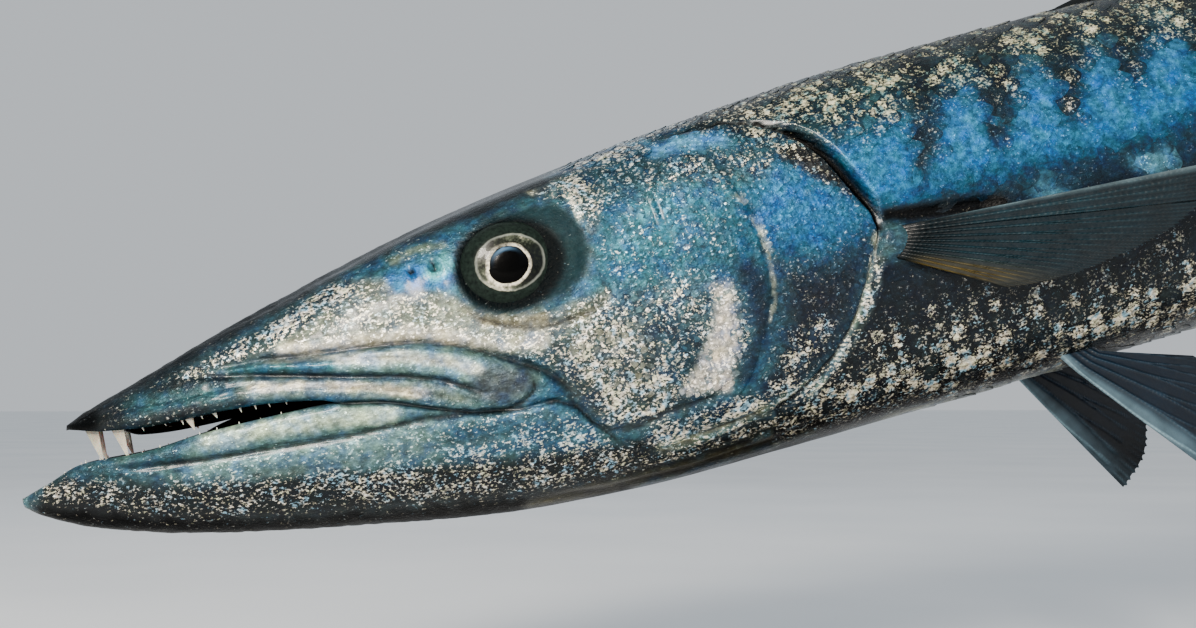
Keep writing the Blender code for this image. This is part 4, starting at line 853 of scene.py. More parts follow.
# Wet fish skin: guanine crystals under a clear film make it part metal; loose bright cells glitter in
# dark skin, their pale colour partly painted glints. The scale of a noise is one over the size of its bumps
# in metres.
def fishSkinMaterial(name, flakeSize, flakeStretch, bumpHeight, scaleShare=0.0):
    # scaleShare is how far the flakes keep to the free part of each scale
    material, add, shader, place = newMaterial(name)
    place = add("Mapping", {"Vector": place, "Rotation": (0, tilt, 0)})
    stretched = add("Mapping", {"Vector": place, "Scale": flakeStretch})
    tint = add("VertexColor", layer_name="tint")
    glint, pearl, gold = add("SeparateColor", [add("VertexColor", layer_name="finish")]).node.outputs
    fleck = add("TexNoise", {"Vector": stretched, "Scale": 1 / flakeSize, "Detail": 3.0, "Roughness": 0.7})
    cluster = add("TexNoise", {"Vector": place, "Scale": 110.0, "Detail": 2.0})  # patches of 9 mm
    density = add("Math", [glint, add("MapRange", [cluster, 0.36, 0.64, 0.56, 1.24])], operation="MULTIPLY")
    level = add("MapRange", [density, 0.0, 1.0, 0.68, 0.43])
    if scaleShare:
        # a scale glitters in the middle of its free part and is dark at its rim
        own = add("SeparateColor", [add("VertexColor", layer_name="scalePlace")]).node.outputs
        freeStops = [(0.0, 0.0), (0.42, 0.25), (0.62, 1.0), (0.82, 0.9), (0.93, 0.15), (1.0, 0.0)]
        free = add("ValToRGB", [own[0]], freeStops)
        inner = add("ValToRGB", [own[1]], [(0.0, 1.0), (0.55, 0.95), (0.9, 0.15)])
        free = add("Math", [0.52, add("Math", [free, inner], operation="MULTIPLY")], operation="SUBTRACT")
        gather = add("MapRange", [density, 0.04, 0.3, 0.3 * scaleShare, scaleShare])
        level = add("Math", [free, gather, level], operation="MULTIPLY_ADD")
    # flakes: pale flecks whose colour is partly painted glints
    flakeAndGlint = add("MapRange", [add("Math", [fleck, level], operation="SUBTRACT"), -0.025, 0.05, 0.0, 1.0])
    hue = add("TexNoise", {"Vector": place, "Scale": 330.0, "Detail": 1.0})
    cool = add("ValToRGB", [hue], [(0.36, "#93c0de"), (0.46, "#e8edec"), (0.56, "#f6e7d4"),
                                   (0.66, "#e8e9c6")])
    warm = add("ValToRGB", [hue], [(0.36, "#8fb3a4"), (0.5, "#ddd79c"), (0.64, "#f1ebc4")])
    # single flakes are dim or bright
    dim = add("TexNoise", {"Vector": stretched, "Scale": 620.0, "Detail": 2.0})
    dim = add("ValToRGB", [dim], [(0.32, 0.24), (0.5, 0.66), (0.64, 1.0)])
    flakeAndGlintColour = add("MixRGB", [1.0, add("MixRGB", [gold, cool, warm]), dim], blend_type="MULTIPLY")
    # where flakes are few they are paler spots of the skin's own colour
    lighter = add("MixRGB", [1.0, tint, (3.4, 3.4, 3.4, 1)], blend_type="MULTIPLY")
    flakeAndGlintColour = add("MixRGB", [add("MapRange", [glint, 0.08, 0.62, 0.85, 0.08]), flakeAndGlintColour, lighter])
    # skin between the flakes is mottled, drifts between blue and green in patches of a few mm and is
    # nearly black where the flakes are thick
    mottle = add("TexNoise", {"Vector": stretched, "Scale": 420.0, "Detail": 5.0, "Roughness": 0.7})
    drift = add("TexNoise", {"Vector": place, "Scale": 170.0, "Detail": 3.0})
    ground = tint
    for share, over in (
            (add("MapRange", [pearl, 0.0, 0.16, 0.3, 0.9]),
             add("ValToRGB", [mottle], [(0.34, 0.35), (0.5, 0.85), (0.66, 1.8)])),
            (add("MapRange", [pearl, 0.0, 0.16, 0.15, 0.7]),
             add("ValToRGB", [drift], [(0.34, "#a3bff8"), (0.5, "#f0f0f0"), (0.66, "#fff8da")])),
            (add("MapRange", [glint, 0.05, 0.6, 0.0, 0.92]), "#3a6478")):
        ground = add("MixRGB", [share, ground, over], blend_type="MULTIPLY")
    if scaleShare:
        shade = add("ValToRGB", [own[0]], [(0.0, 0.7), (0.4, 0.96), (0.78, 1.08), (0.94, 0.8), (1.0, 0.55)])
        ground = add("MixRGB", [0.85, ground, shade], blend_type="MULTIPLY")
    fine = add("TexNoise", {"Vector": stretched, "Scale": 900.0, "Detail": 3.0})
    relief = add("Math", [fleck, 2.0, fine], operation="MULTIPLY_ADD")
    setInputs(shader, {
        "Base Color": add("MixRGB", [flakeAndGlint, ground, flakeAndGlintColour]),
        "Roughness": add("MapRange", [flakeAndGlint, 0.0, 1.0, 0.38, 0.24]),
        "Metallic": pearl,
        "Normal": add("Bump", {"Strength": 0.6, "Distance": bumpHeight, "Height": relief}),
        # skin without crystals lies in hollows and folds, and hardly shines
        "Coat Weight": add("MapRange", [pearl, 0.0, 0.16, 0.0, 0.12]),
        "Specular IOR Level": add("MapRange", [pearl, 0.0, 0.16, 0.03, 0.25]),
        "Coat Roughness": 0.15, "IOR": 1.4})
    return material


bothSides = [f"{node}_{side}" for node in ("maxilla", "cheek", "gill_cover") for side in sides]
fleshNodes = ["head", "lower_jaw", "throat", *bothSides, "trunk_front", "trunk_middle", "trunk_rear",
              "tail_stalk"]
bareSkin = fishSkinMaterial("wetSilveredSkin", 0.0011, (0.75, 1, 1.15), 0.00028)
finishPiece(skin, bareSkin, "head_skin", fleshNodes)
print("skin painted")

# Arc table: the angle on the left side at a share of the way from the back's ridge to the belly's
arcSet = {"reach": (180.0, 1032.0), "step": 4.0, "shares": 160, "sweep": 500}
arcStations = np.arange(*arcSet["reach"], arcSet["step"])
arcShares = np.linspace(0, 1, arcSet["shares"] + 1)
sweep = np.linspace(0, math.pi, arcSet["sweep"])
arcAngles, halfGirth = [], []
for s in arcStations:
    line = bodyPoint(np.full(sweep.shape, s), sweep)
    length = np.concatenate([[0], np.cumsum(np.linalg.norm(np.diff(line, axis=0), axis=1))])
    arcAngles.append(np.interp(arcShares * length[-1], length, sweep))
    halfGirth.append(length[-1])
arcAngles, halfGirth = np.array(arcAngles), np.array(halfGirth)


def girthAt(station):
    return np.interp(station, arcStations, halfGirth)


def angleAtShare(station, share):
    # shares below 0 or over 1 pass over the ridge to the other side
    folded = np.where(share < 0, -share, np.where(share > 1, 2 - share, share))
    i = np.clip((station - arcStations[0]) / arcSet["step"], 0, len(arcStations) - 1.001)
    j = np.clip(folded * arcSet["shares"], 0, arcSet["shares"] - 0.001)
    i0, j0 = i.astype(int), j.astype(int)
    fi, fj = i - i0, j - j0
    angle = ((arcAngles[i0, j0] * (1 - fj) + arcAngles[i0, j0 + 1] * fj) * (1 - fi)
             + (arcAngles[i0 + 1, j0] * (1 - fj) + arcAngles[i0 + 1, j0 + 1] * fj) * fi)
    return np.where(share < 0, -angle, np.where(share > 1, 2 * math.pi - angle, angle))


# Scales: one is modelled, and each coat lays copies of it on the skin, root sunk and rear edge free
scaleShape = {"narrowRoot": 0.72, "thickness": 0.06, "bakePatch": 0.003, "placePaint": 0.55,
              "wholePaint": 0.45}


def modelScale(across, along):
    # a small shield about 1 long and 2 wide: x runs from root to free edge, y across, z up
    deselect()
    bpy.ops.mesh.primitive_grid_add(x_subdivisions=along, y_subdivisions=across, size=2)
    master = bpy.context.object
    for vert in master.data.vertices:
        v, b = ((vert.co.x + 1) / 2) ** 0.8, vert.co.y
        width = scaleShape["narrowRoot"] + (1 - scaleShape["narrowRoot"]) * min(1, v / 0.45)
        width *= math.sqrt(max(0.06, 1 - max(0, (v - 0.5) / 0.56) ** 2.2))
        vert.co = (v - 0.1 * b * b * v, b * width, 0)
    thick = master.modifiers.new("plate", "SOLIDIFY")
    thick.thickness, thick.offset = scaleShape["thickness"], -1
    bpy.ops.object.modifier_apply(modifier="plate")
    verts, faces = meshPlaces(master), [tuple(f.vertices) for f in master.data.polygons]
    bpy.data.objects.remove(master, do_unlink=True)
    return verts, faces


def skinUnwrap(station, share, side):
    # where a place on the skin lies on a layout by the skin's length and girth; the head takes half of its
    # length
    u = np.interp(station, [-5, 330, 1050], [0.01, 0.5, 0.985])
    v = np.interp(share, [-0.05, 1.05], [0.01, 0.485])
    return np.stack([u, v if side < 0 else v + 0.5], -1)


def meshFrom(name, points, faces, count):
    # count copies of the faces on the points; gives the object and each corner's vertex
    mesh = bpy.data.meshes.new(name)
    mesh.vertices.add(points.size // 3)
    mesh.vertices.foreach_set("co", toWorld(points.reshape(-1, 3)).astype(np.float32).ravel())
    total = points.size // 3 // count
    corners = (np.concatenate(faces)[None, :] + (np.arange(count) * total)[:, None]).ravel()
    mesh.loops.add(len(corners))
    mesh.loops.foreach_set("vertex_index", corners.astype(np.int32))
    mesh.polygons.add(len(faces) * count)
    starts = np.concatenate([[0], np.cumsum(np.tile([len(face) for face in faces], count))[:-1]])
    mesh.polygons.foreach_set("loop_start", starts.astype(np.int32))
    mesh.update(calc_edges=True)
    mesh.validate()
    made = bpy.data.objects.new(name, mesh)
    bpy.context.scene.collection.objects.link(made)
    return made, corners


def layCoat(name, side, station, share, length, width, lift, sink, jitter, grid, seed):
    # copies of the scale at each place, bent to the skin under them
    verts, faces = modelScale(*grid)
    draw = np.random.default_rng(seed)
    count, total = len(station), len(verts)
    tiltAlong, tiltAcross, turned = (draw.normal(0, angle, count)[:, None]
                                     for angle in (jitter, jitter, 0.06))
    size = (1 + draw.normal(0, 0.05, count))[:, None]
    v, breadth, height = (verts[None, :, k] for k in range(3))
    a = (v - 0.38) * length[:, None] * size
    b = breadth * 0.5 * width[:, None] * size
    a, b = a - b * turned, b + a * turned
    s = station[:, None] + a
    angle = angleAtShare(s, share[:, None] + b / girthAt(s))
    base = bodyPoint(s, angle)
    rise = -sink[:, None] + lift[:, None] * v ** 1.2 + height * length[:, None]
    rise = rise + (tiltAlong * v + tiltAcross * breadth * v) * length[:, None] - 0.02 * (b**2) / 10
    points = base + bodyNormal(s, angle) * (reliefAt(base) + rise)[..., None]
    points[..., 1] *= -side
    coat, corners = meshFrom(name, points, [face if side < 0 else face[::-1] for face in faces], count)
    # each scale's own small patch on that layout of the skin
    patch = (verts[:, :2] * (1, 0.5) + (0, 0.5)) * scaleShape["bakePatch"]
    patches = (skinUnwrap(station, share, side)[:, None, :] + patch[None]).reshape(-1, 2)
    coat.data.uv_layers.new(name="OFBake").data.foreach_set("uv", patches[corners].astype(np.float32).ravel())
    # paint: half by the whole scale, half by the place
    base = base.reshape(-1, 3) * (1, -side, 1)
    roots = bodyPoint(station, angleAtShare(station, share)) * (1, -side, 1)
    colour, finish = (scaleShape["placePaint"] * at + scaleShape["wholePaint"] * np.repeat(whole, total, 0)
                      for at, whole in zip(paintAt(base), paintAt(roots)))
    bright = np.repeat(np.exp(draw.normal(0, 0.08, count)), total)
    setAttribute(coat, "tint", deepen(colour) * bright[:, None])
    sparkle = np.repeat(np.clip(draw.normal(1, 0.4, count), 0.2, 1.5), total)
    setAttribute(coat, "finish", np.stack([finish[:, 0] * sparkle, finish[:, 1], goldAt(base)], -1))
    setAttribute(coat, "scalePlace", np.stack([
        np.tile(verts[:, 0], count), np.tile(np.abs(verts[:, 1]), count),
        np.repeat(draw.random(count), total)], -1))
    return coat


# A coat's reach runs along the body, lean is how far its columns lean back towards the belly, sizes in mm
coats = {
    "flank": {"reach": (264, 1022), "rows": 26, "step": 8.6, "lean": 46, "lift": 0.75, "sink": 0.3,
              "jitter": 0.011, "overlap": 1.75, "wide": 1.2, "grid": (5, 4), "shrink": 0.55,
              "parts": [("Front", 0, 600), ("Rear", 600, 1100)]},
    "nape": {"reach": (212, 366), "rows": 40, "step": 5.0, "lean": 46, "lift": 0.5, "sink": 0.22,
             "jitter": 0.018, "overlap": 1.7, "wide": 1.22, "grid": (5, 4), "shrink": 0,
             "parts": [("", 0, 1100)]},
    "cheek": {"reach": (190, 318), "rows": 78, "step": 2.7, "lean": 16, "lift": 0.34, "sink": 0.14,
              "jitter": 0.024, "overlap": 1.6, "wide": 1.2, "grid": (3, 3), "shrink": 0,
              "parts": [("", 0, 1100)]},
}
nakedPatch = [(260, 9), (267, 8), (275, -4), (274, -16), (268, -28), (256, -43), (252, -38), (261, -24)]
scaleFree = {"finRoot": ((332, -2), (16, 13)), "eye": ((186, 26), (30, 23))}  # centre and half axes
cheekLow = [[196, 210, 240, 260, 285, 300, 320], [-22, -34, -41, -40, -42, -30, -4]]


def stepAt(coat, station):
    # scales are smaller where the body is slimmer
    return coat["step"] * (girthAt(station) / 200) ** coat["shrink"]


def coatPlaces(coat):
    # every second column of scales stands half a row lower, and the columns lean back towards the belly
    start, end = coat["reach"][0] - coat["lean"], coat["reach"][1]
    stations = list(np.arange(start, end, coat["step"]))
    if coat["shrink"]:
        stations = [start]
        while stations[-1] < end:
            stations.append(stations[-1] + float(stepAt(coat, stations[-1])))
        stations.pop()
    place = []
    for k, s in enumerate(stations):
        for i in range(coat["rows"] + (k % 2)):
            share = (i + (0.0 if k % 2 else 0.5)) / coat["rows"]
            place.append((s + coat["lean"] * share, share))
    return np.array(place).T


def scaleGrows(kind, station, z):
    # where each coat covers the skin: not on the gill opening, the fin's base, the smooth edge of the
    # cheek's plate or round the eye
    cover = insideDepth(headRelief["gillCover"], station, z)
    napeEnd = 344 + 0.9 * (z - 50)
    if kind == "flank":
        grows = (cover < -6.5 - 2 * gapHalf(z)) & ((z < 44) | (station > napeEnd))
        grows &= ((station > 300) | (z < 0)) & ((station > 285) | (z < -80))
        grows &= (station >= 330) | (z >= -60) | (station >= 258 - z)
        grows &= ellipseAway(station, z, *scaleFree["finRoot"]) > 1
    elif kind == "nape":
        grows = (cover < -2.5 - 2 * gapHalf(z)) & (z > 40) & (station < napeEnd + 12)
        grows &= ((station > 224) | (z > 52)) & (station > 214)
    else:
        fromEye = ellipseAway(station, z, *scaleFree["eye"]) > 1
        plate = (insideDepth(headRelief["cheek"], station, z) > 1.5) | (cover > 1.6)
        grows = plate & (insideDepth(nakedPatch, station, z) < -0.4) & fromEye
        grows &= (z >= np.interp(station, *cheekLow)) & (station > 196)
        grows |= (z > 30) & (station > 206) & (station < 285) & (z < 56) & fromEye & (cover > 1.6)
    return grows & (station < coats["flank"]["reach"][1])


bodyScales = fishSkinMaterial("silverScaleEnamel", 0.0011, (0.85, 1, 1.1), 0.00022, 0.16)
plateScales = fishSkinMaterial("finePlateEnamel", 0.0011, (0.85, 1, 1.1), 0.00022, 0.1)
for sideName, side in sides.items():
    for kind, coat in coats.items():
        station, share = coatPlaces(coat)
        keep = scaleGrows(kind, station, bodyPoint(station, angleAtShare(station, share))[:, 2])
        station, share = station[keep], share[keep]
        step = stepAt(coat, station)
        station = station + np.random.default_rng(40 + side).normal(0, 0.08, len(station)) * step
        fine = step / coat["step"]
        sizes = np.stack([share, step * coat["overlap"], girthAt(station) / coat["rows"] * coat["wide"],
                          coat["lift"] * fine, coat["sink"] * fine])
        for part, low, high in coat["parts"]:
            some = (station >= low) & (station < high)
            made = layCoat(f"{kind}Scales{part}_{sideName}", side, station[some], *sizes[:, some],
                           coat["jitter"], coat["grid"], 7 + side)
            look = (plateScales, "plate_skin") if kind == "cheek" else (bodyScales, "flank_skin")
            finishPiece(made, *look, smoothAngle=50)
            print(made.name, some.sum(), "scales,", len(made.data.polygons) * 2, "triangles")


# Eyes: a silver iris with dark patches round a black pupil, in a dark wet ball
eyeSet = {"half": (18.6, 9.0, 16.2), "sunk": 5.2, "irisCentre": (183.2, 24.8), "iris": (14.0, 11.2),
          "pupilCentre": (182.2, 24.2), "pupil": (7.2, 6.6), "segments": 128, "rings": 96}


def eyeMaterial():
    # cornea: a clear wet film, so a thin coat over the painted iris
    material, add, shader, place = newMaterial("wetFishEye")
    ring, pupil, pale = add("SeparateColor", [add("VertexColor", layer_name="eyePlace")]).node.outputs
    sheen, sheenShare = add("VertexColor", layer_name="eyeSheen").node.outputs
    fine = add("TexNoise", {"Vector": place, "Scale": 700.0, "Detail": 4.0, "Roughness": 0.65})
    broad = add("TexNoise", {"Vector": place, "Scale": 190.0, "Detail": 2.0})
    grain = add("Math", [fine, 0.8, pale], operation="MULTIPLY_ADD")
    irisStops = [(0.42, "#040605"), (0.58, "#12160f"), (0.74, "#41463a"), (0.88, "#878470"), (1.0, "#d5cfb9")]
    ball = add("ValToRGB", [fine], [(0.35, "#0b110f"), (0.65, "#18211d")])
    shifted = add("Math", [broad, 0.12, ring], operation="MULTIPLY_ADD")
    outer = add("ValToRGB", [shifted], [(0.0, 1.0), (0.97, 1.0), (1.06, 0.0)])
    colour = add("MixRGB", [outer, ball, add("ValToRGB", [grain], irisStops)])
    # thin bright rings at the rim of the iris and round the pupil
    rimRing = add("ValToRGB", [shifted], [(0.0, 0.0), (0.9, 0.0), (0.96, 0.55), (1.02, 0.0)])
    rimRing = add("Math", [rimRing, broad], operation="MULTIPLY")
    colour = add("MixRGB", [rimRing, colour, "#a9b0a6"])
    uneven = add("Math", [broad, 0.16, pupil], operation="MULTIPLY_ADD")
    scaled = add("Math", [uneven, 0.5, -0.04], operation="MULTIPLY_ADD")  # a ramp ends at 1
    edge = add("ValToRGB", [scaled], [(0.0, 0.0), (0.487, 0.0), (0.5, 1.0), (0.55, 0.85), (0.6, 0.0)])
    for share in (add("ValToRGB", [fine], [(0.4, 0.3), (0.56, 1.0)]), sheenShare):
        edge = add("Math", [edge, share], operation="MULTIPLY")
    colour = add("MixRGB", [edge, colour, "#e2dcc4"])
    hole = add("ValToRGB", [scaled], [(0.0, 1.0), (0.485, 1.0), (0.505, 0.0)])
    colour = add("MixRGB", [hole, colour, "#010101"])
    # the iris shines, the pupil and the dark ball round it hardly do
    bright = add("Math", [outer, hole], operation="SUBTRACT")
    setInputs(shader, {
        # with a painted reflection: a faint blue sickle at the pupil's upper edge
        "Base Color": add("MixRGB", [1.0, colour, sheen], blend_type="ADD"),
        "Coat Weight": add("MapRange", [bright, 0.0, 1.0, 0.03, 0.14]),
        "Specular IOR Level": add("MapRange", [bright, 0.0, 1.0, 0.03, 0.1]),
        "Normal": add("Bump", {"Strength": 0.3, "Distance": 0.0002, "Height": grain}),
        "Roughness": 0.3, "Coat Roughness": 0.03, "Coat IOR": 1.34})
    return material


def turnFrom(angle, middle):
    return (angle - middle + math.pi) % math.tau - math.pi


wetEye = eyeMaterial()
for sideName, side in sides.items():
    deselect()
    bpy.ops.mesh.primitive_uv_sphere_add(segments=eyeSet["segments"], ring_count=eyeSet["rings"], radius=1)
    eye = bpy.context.object
    bpy.ops.object.mode_set(mode="EDIT")
    bpy.ops.transform.rotate(value=math.pi / 2, orient_axis="X", center_override=(0, 0, 0))
    bpy.ops.object.mode_set(mode="OBJECT")
    unit = meshPlaces(eye)
    station, height = (np.array([v]) for v in headRelief["eye"]["centre"])
    angle = angleAtHeight(station, height)
    middle = (bodyPoint(station, angle) - bodyNormal(station, angle) * eyeSet["sunk"])[0]
    ball = middle * (1, -side, 1) + unit * eyeSet["half"]
    away = ellipseAway(ball[:, 0], ball[:, 2], eyeSet["irisCentre"], eyeSet["iris"])
    around = np.arctan2(ball[:, 2] - eyeSet["pupilCentre"][1], ball[:, 0] - eyeSet["pupilCentre"][0])
    pear = 1 + 0.13 * bell(around + 2.5, 0.7)
    pupil = ellipseAway(ball[:, 0], ball[:, 2], eyeSet["pupilCentre"], eyeSet["pupil"]) / pear
    outward = unit[:, 1] * side > 0
    # the iris lies a little flatter than the ball and the pupil's lens stands out again
    flat = 0.5 * (1 - smoothStep(0.75, 1.1, away)) - 0.5 * (1 - smoothStep(0.6, 1.15, pupil))
    ball[:, 1] -= side * outward * flat
    eye.data.vertices.foreach_set("co", toWorld(ball).ravel().astype(np.float32))
    eye = joinSheets([eye], f"eyeball_{sideName}")
    hidden = np.where(outward, 0, 3.0)
    # the iris is silver below in front and above behind, dark before the pupil and behind it below
    patches = 0.02 + 0.46 * bell(turnFrom(around, -2.2), 0.95)
    patches += 0.26 * bell(turnFrom(around, 1.0), 0.8) * smoothStep(0.5, 0.75, away)
    patches += 0.16 * bell(turnFrom(around, 2.6), 0.5)
    fromTop = turnFrom(around, 1.75)
    # a painted blue reflection on the pupil's upper edge
    paintedReflection = 0.5 * bell(fromTop, 0.65) * smoothStep(0.68, 0.86, pupil)
    paintedReflection = paintedReflection * (1 - smoothStep(0.92, 0.97, pupil)) * outward
    reflectionTone = np.array([hexColour("#5f86a8")]) * paintedReflection[:, None]
    setAttribute(eye, "eyeSheen", np.concatenate([reflectionTone, (1 - 0.8 * bell(fromTop, 0.7))[:, None]], 1))
    setAttribute(eye, "eyePlace", np.stack([away + hidden, pupil + hidden, np.clip(patches, 0, 1)], -1))
    finishPiece(eye, wetEye, "eye", [f"eye_{sideName}"])
print("eyes made")

# Teeth: daggers flattened along the jaw, the fangs well in front, each with its root in the gum.
# A fang is its station, length and half width; a row of small teeth has a range of lengths.
teethSet = {"fangs": [(26.5, 13.2, 2.9), (35.5, 11.6, 2.8), (60.0, 5.6, 2.5), (68.5, 3.6, 2.1)],
            "side": {"from": 44.0, "to": 108.0, "step": 6.4, "length": (1.4, 2.4), "half": 1.2,
                     "scatter": 0.8, "lean": 0.7},
            "low": {"from": 14.0, "to": 96.0, "step": 7.0, "length": (0.9, 1.7), "half": 1.0,
                    "scatter": 1.0, "lean": 0.3},
            "root": 3.0, "flatness": 0.55, "sides": 14, "seed": 9,
            "profile": [(0, 1), (0.45, 1), (0.72, 0.9), (0.88, 0.68), (0.97, 0.4), (1, 0.08)]}


def modelTooth():
    # unit dagger: root at 0, tip at 1, half width 1
    deselect()
    bpy.ops.mesh.primitive_cylinder_add(vertices=teethSet["sides"], radius=1, depth=1, location=(0, 0, 0.5),
                                        end_fill_type="TRIFAN")
    dagger = bpy.context.object
    bpy.ops.object.transform_apply(location=True)
    bpy.ops.object.mode_set(mode="EDIT")
    bpy.ops.mesh.select_all(action="DESELECT")
    bpy.ops.object.mode_set(mode="OBJECT")
    for edge in dagger.data.edges:
        a, b = (dagger.data.vertices[i].co for i in edge.vertices)
        edge.select = abs(a.z - b.z) > 0.5
    bpy.ops.object.mode_set(mode="EDIT")
    bpy.ops.mesh.subdivide_edgering(number_cuts=8, interpolation="LINEAR")
    bpy.ops.object.mode_set(mode="OBJECT")
    widthAt = smoothCurve(teethSet["profile"])
    for vert in dagger.data.vertices:
        w = float(widthAt(vert.co.z))
        vert.co.x, vert.co.y = vert.co.x * w, vert.co.y * w
    return dagger


def placeTooth(master, station, gum, length, half, side, down, lean, twist):
    tooth = master.copy()
    tooth.data = master.data.copy()
    bpy.context.scene.collection.objects.link(tooth)
    unit = meshPlaces(tooth)
    depth = (unit[:, 2:3] * (length + teethSet["root"]) - teethSet["root"]) * (-1 if down else 1)
    inset = max(float(widthAtHeight(np.array([station]), np.array([gum]))[0]) - (2.5 if down else 3.8), 1.6)
    x, y, z = (unit * (half, half, 1)).T
    y = y * teethSet["flatness"]
    along = station + x * math.cos(twist) - y * math.sin(twist) + lean * z ** 2
    across = side * (inset + (x * math.sin(twist) + y * math.cos(twist)) - 0.35 * z ** 2)
    p = np.stack([along, across, gum + depth[:, 0]], -1)
    # the root keeps under the skin
    inGum = (p[:, 2] > gum) if down else (p[:, 2] < gum)
    deepest = np.maximum(widthAtHeight(p[:, 0], p[:, 2]) - 1.6, 0.4)
    p[:, 1] = np.where(inGum, side * np.minimum(np.abs(p[:, 1]), deepest), p[:, 1])
    tooth.data.vertices.foreach_set("co", toWorld(p).ravel().astype(np.float32))
    return tooth


master = modelTooth()
draw = np.random.default_rng(teethSet["seed"])
rows = {"upperTeeth": [], "lowerTeeth": []}
for side in sides.values():
    for station, length, half in teethSet["fangs"]:
        lean, twist = 1.0 + 0.5 * draw.random(), 0.16 * draw.normal()
        rows["upperTeeth"].append((station, length, half, side, lean, twist))
    for name, key in (("upperTeeth", "side"), ("lowerTeeth", "low")):
        row = teethSet[key]
        low, high = row["length"]
        for station in np.arange(row["from"], row["to"], row["step"]):
            rows[name].append((station + draw.normal() * row["scatter"], low + (high - low) * draw.random(),
                               row["half"], side, row["lean"], 0.2 * draw.normal()))

# Enameloid: dense and slightly see-through, paler at the tip, stained at the root
toothEnamel, add, shader, place = newMaterial("creamEnameloid")
height = add("VertexColor", layer_name="finish")
stain = add("TexNoise", {"Vector": place, "Scale": 500.0, "Detail": 3.0})
tone = add("ValToRGB", [height], [(0.2, "#6b6554"), (0.5, "#968f7e"), (1.0, "#b5b1a4")])
stained = add("ValToRGB", [stain], [(0.35, 0.6), (0.65, 1.1)])
setInputs(shader, {"Base Color": add("MixRGB", [0.5, tone, stained], blend_type="MULTIPLY"),
                   "Roughness": 0.24, "Subsurface Weight": 0.25, "Subsurface Scale": 0.002,
                   "Coat Weight": 0.5, "Coat Roughness": 0.08})
for name, teeth in rows.items():
    upper = name == "upperTeeth"
    pieces = []
    for station, length, half, side, lean, twist in teeth:
        gum = float((upperLipAt if upper else lowerLipAt)(station)) + (0.5 if upper else -0.5)
        room = float(upperLipAt(station) - lowerLipAt(station)) - 1.2
        # the two fangs pass inside the lower lip, the other teeth end above it
        length = min(length, room + 3.0 if length > 8 else max(room * (0.92 if length > 4 else 0.5), 0.5))
        pieces.append(placeTooth(master, station, gum, length, half, side, upper, lean, twist))
        setAttribute(pieces[-1], "finish", meshPlaces(master)[:, [2, 2, 2]])
    finishPiece(joinSheets(pieces, name), toothEnamel, "jaw_skin", (), 50)
bpy.data.objects.remove(master, do_unlink=True)
print("teeth made")

# Fins: thin membranes on rays that stand out as ridges and branch towards the edge
finSet = {"perRay": 14, "rows": 46, "gap": 0.3, "rayWidth": 0.62, "membrane": 0.42, "edge": 0.2,
          "branchAt": 0.34, "branchAgain": 0.66, "notch": 0.016, "fray": 0.014, "rootSink": 2.2,
          "joints": 330.0}


def rayRidge(place, v, spacing, spiny):
    # height of the ray's ridge, 0 to 1, at a place counted in rays from the front
    away = place - np.round(place)
    first = 0.25 * smoothStep(finSet["branchAt"], 0.8, v) * (not spiny)
    second = 0.115 * smoothStep(finSet["branchAgain"], 1.0, v) * (not spiny)
    near = np.abs(np.abs(np.abs(away) - first) - second)
    return bell(near * spacing, finSet["rayWidth"] * (1.25 - 0.85 * v))


def makeFin(name, nodeName, rays, place, outward, rayHalf, rootHalf, tone, spiny=False, waviness=0.5, seed=3):
    columns, rows = (rays - 1) * finSet["perRay"] + 1, finSet["rows"]
    u, v = np.meshgrid(np.linspace(0, 1, columns), np.linspace(0, 1, rows) ** 0.9, indexing="ij")
    flat = place(u, v)
    spacing = np.linalg.norm(np.gradient(flat, axis=0), axis=-1) * finSet["perRay"]
    ridge = rayRidge(u * (rays - 1), v, spacing, spiny)
    draw = np.random.default_rng(seed)
    ragged = np.interp(u[:, 0] * (rays - 1) * 2, np.arange(2 * rays), draw.random(2 * rays))
    fray = finSet["notch"] * (1 - ridge[:, -1:]) + finSet["fray"] * ragged[:, None]
    flat = place(u, v * (1 - smoothStep(0.8, 1, v) * fray))
    normal = outward(flat)
    wave = waviness * v * (np.sin(7 * u + 3 * v + seed) + 0.6 * np.sin(17 * u - 4 * v + 2 * seed))
    flat = flat + normal * wave[..., None]
    thinRay = rayHalf * (1 - v) ** 0.8 + finSet["edge"] * 1.4
    membrane = finSet["membrane"] * (1 - v) + finSet["edge"] * v
    half = membrane + (thinRay - membrane).clip(0) * ridge
    half = half + (rootHalf - half).clip(0) * (1 - smoothStep(0, 0.16, v)) ** 2
    # both long edges are rounded by their first and last rays
    half = half * np.sqrt(np.clip(np.minimum(u, 1 - u) * (rays - 1) / 0.12, 0.15, 1))
    near, far = flat + normal * half[..., None], flat - normal * half[..., None]
    # the two faces, then the strips that close the front, rear, root and edge
    strips = [(near, u, v, ridge), (far, u, v, ridge)]
    for pick in ((0, slice(None)), (-1, slice(None)), (slice(None), 0), (slice(None), -1)):
        strips.append((np.stack([near[pick], far[pick]]), *(np.stack([a[pick]] * 2) for a in (u, v, ridge))))
    sheets = []
    for points, *where in strips:
        sheets.append(layGrid(name, points))
        au, av, ar = (a.ravel() for a in where)
        setAttribute(sheets[-1], "tint", deepen(tone(au, av, ar)))
        setAttribute(sheets[-1], "finPlace", np.stack([av, ar, au], -1))
    finishPiece(joinSheets(sheets, name), finMembrane, "fin_skin", [nodeName], 60)


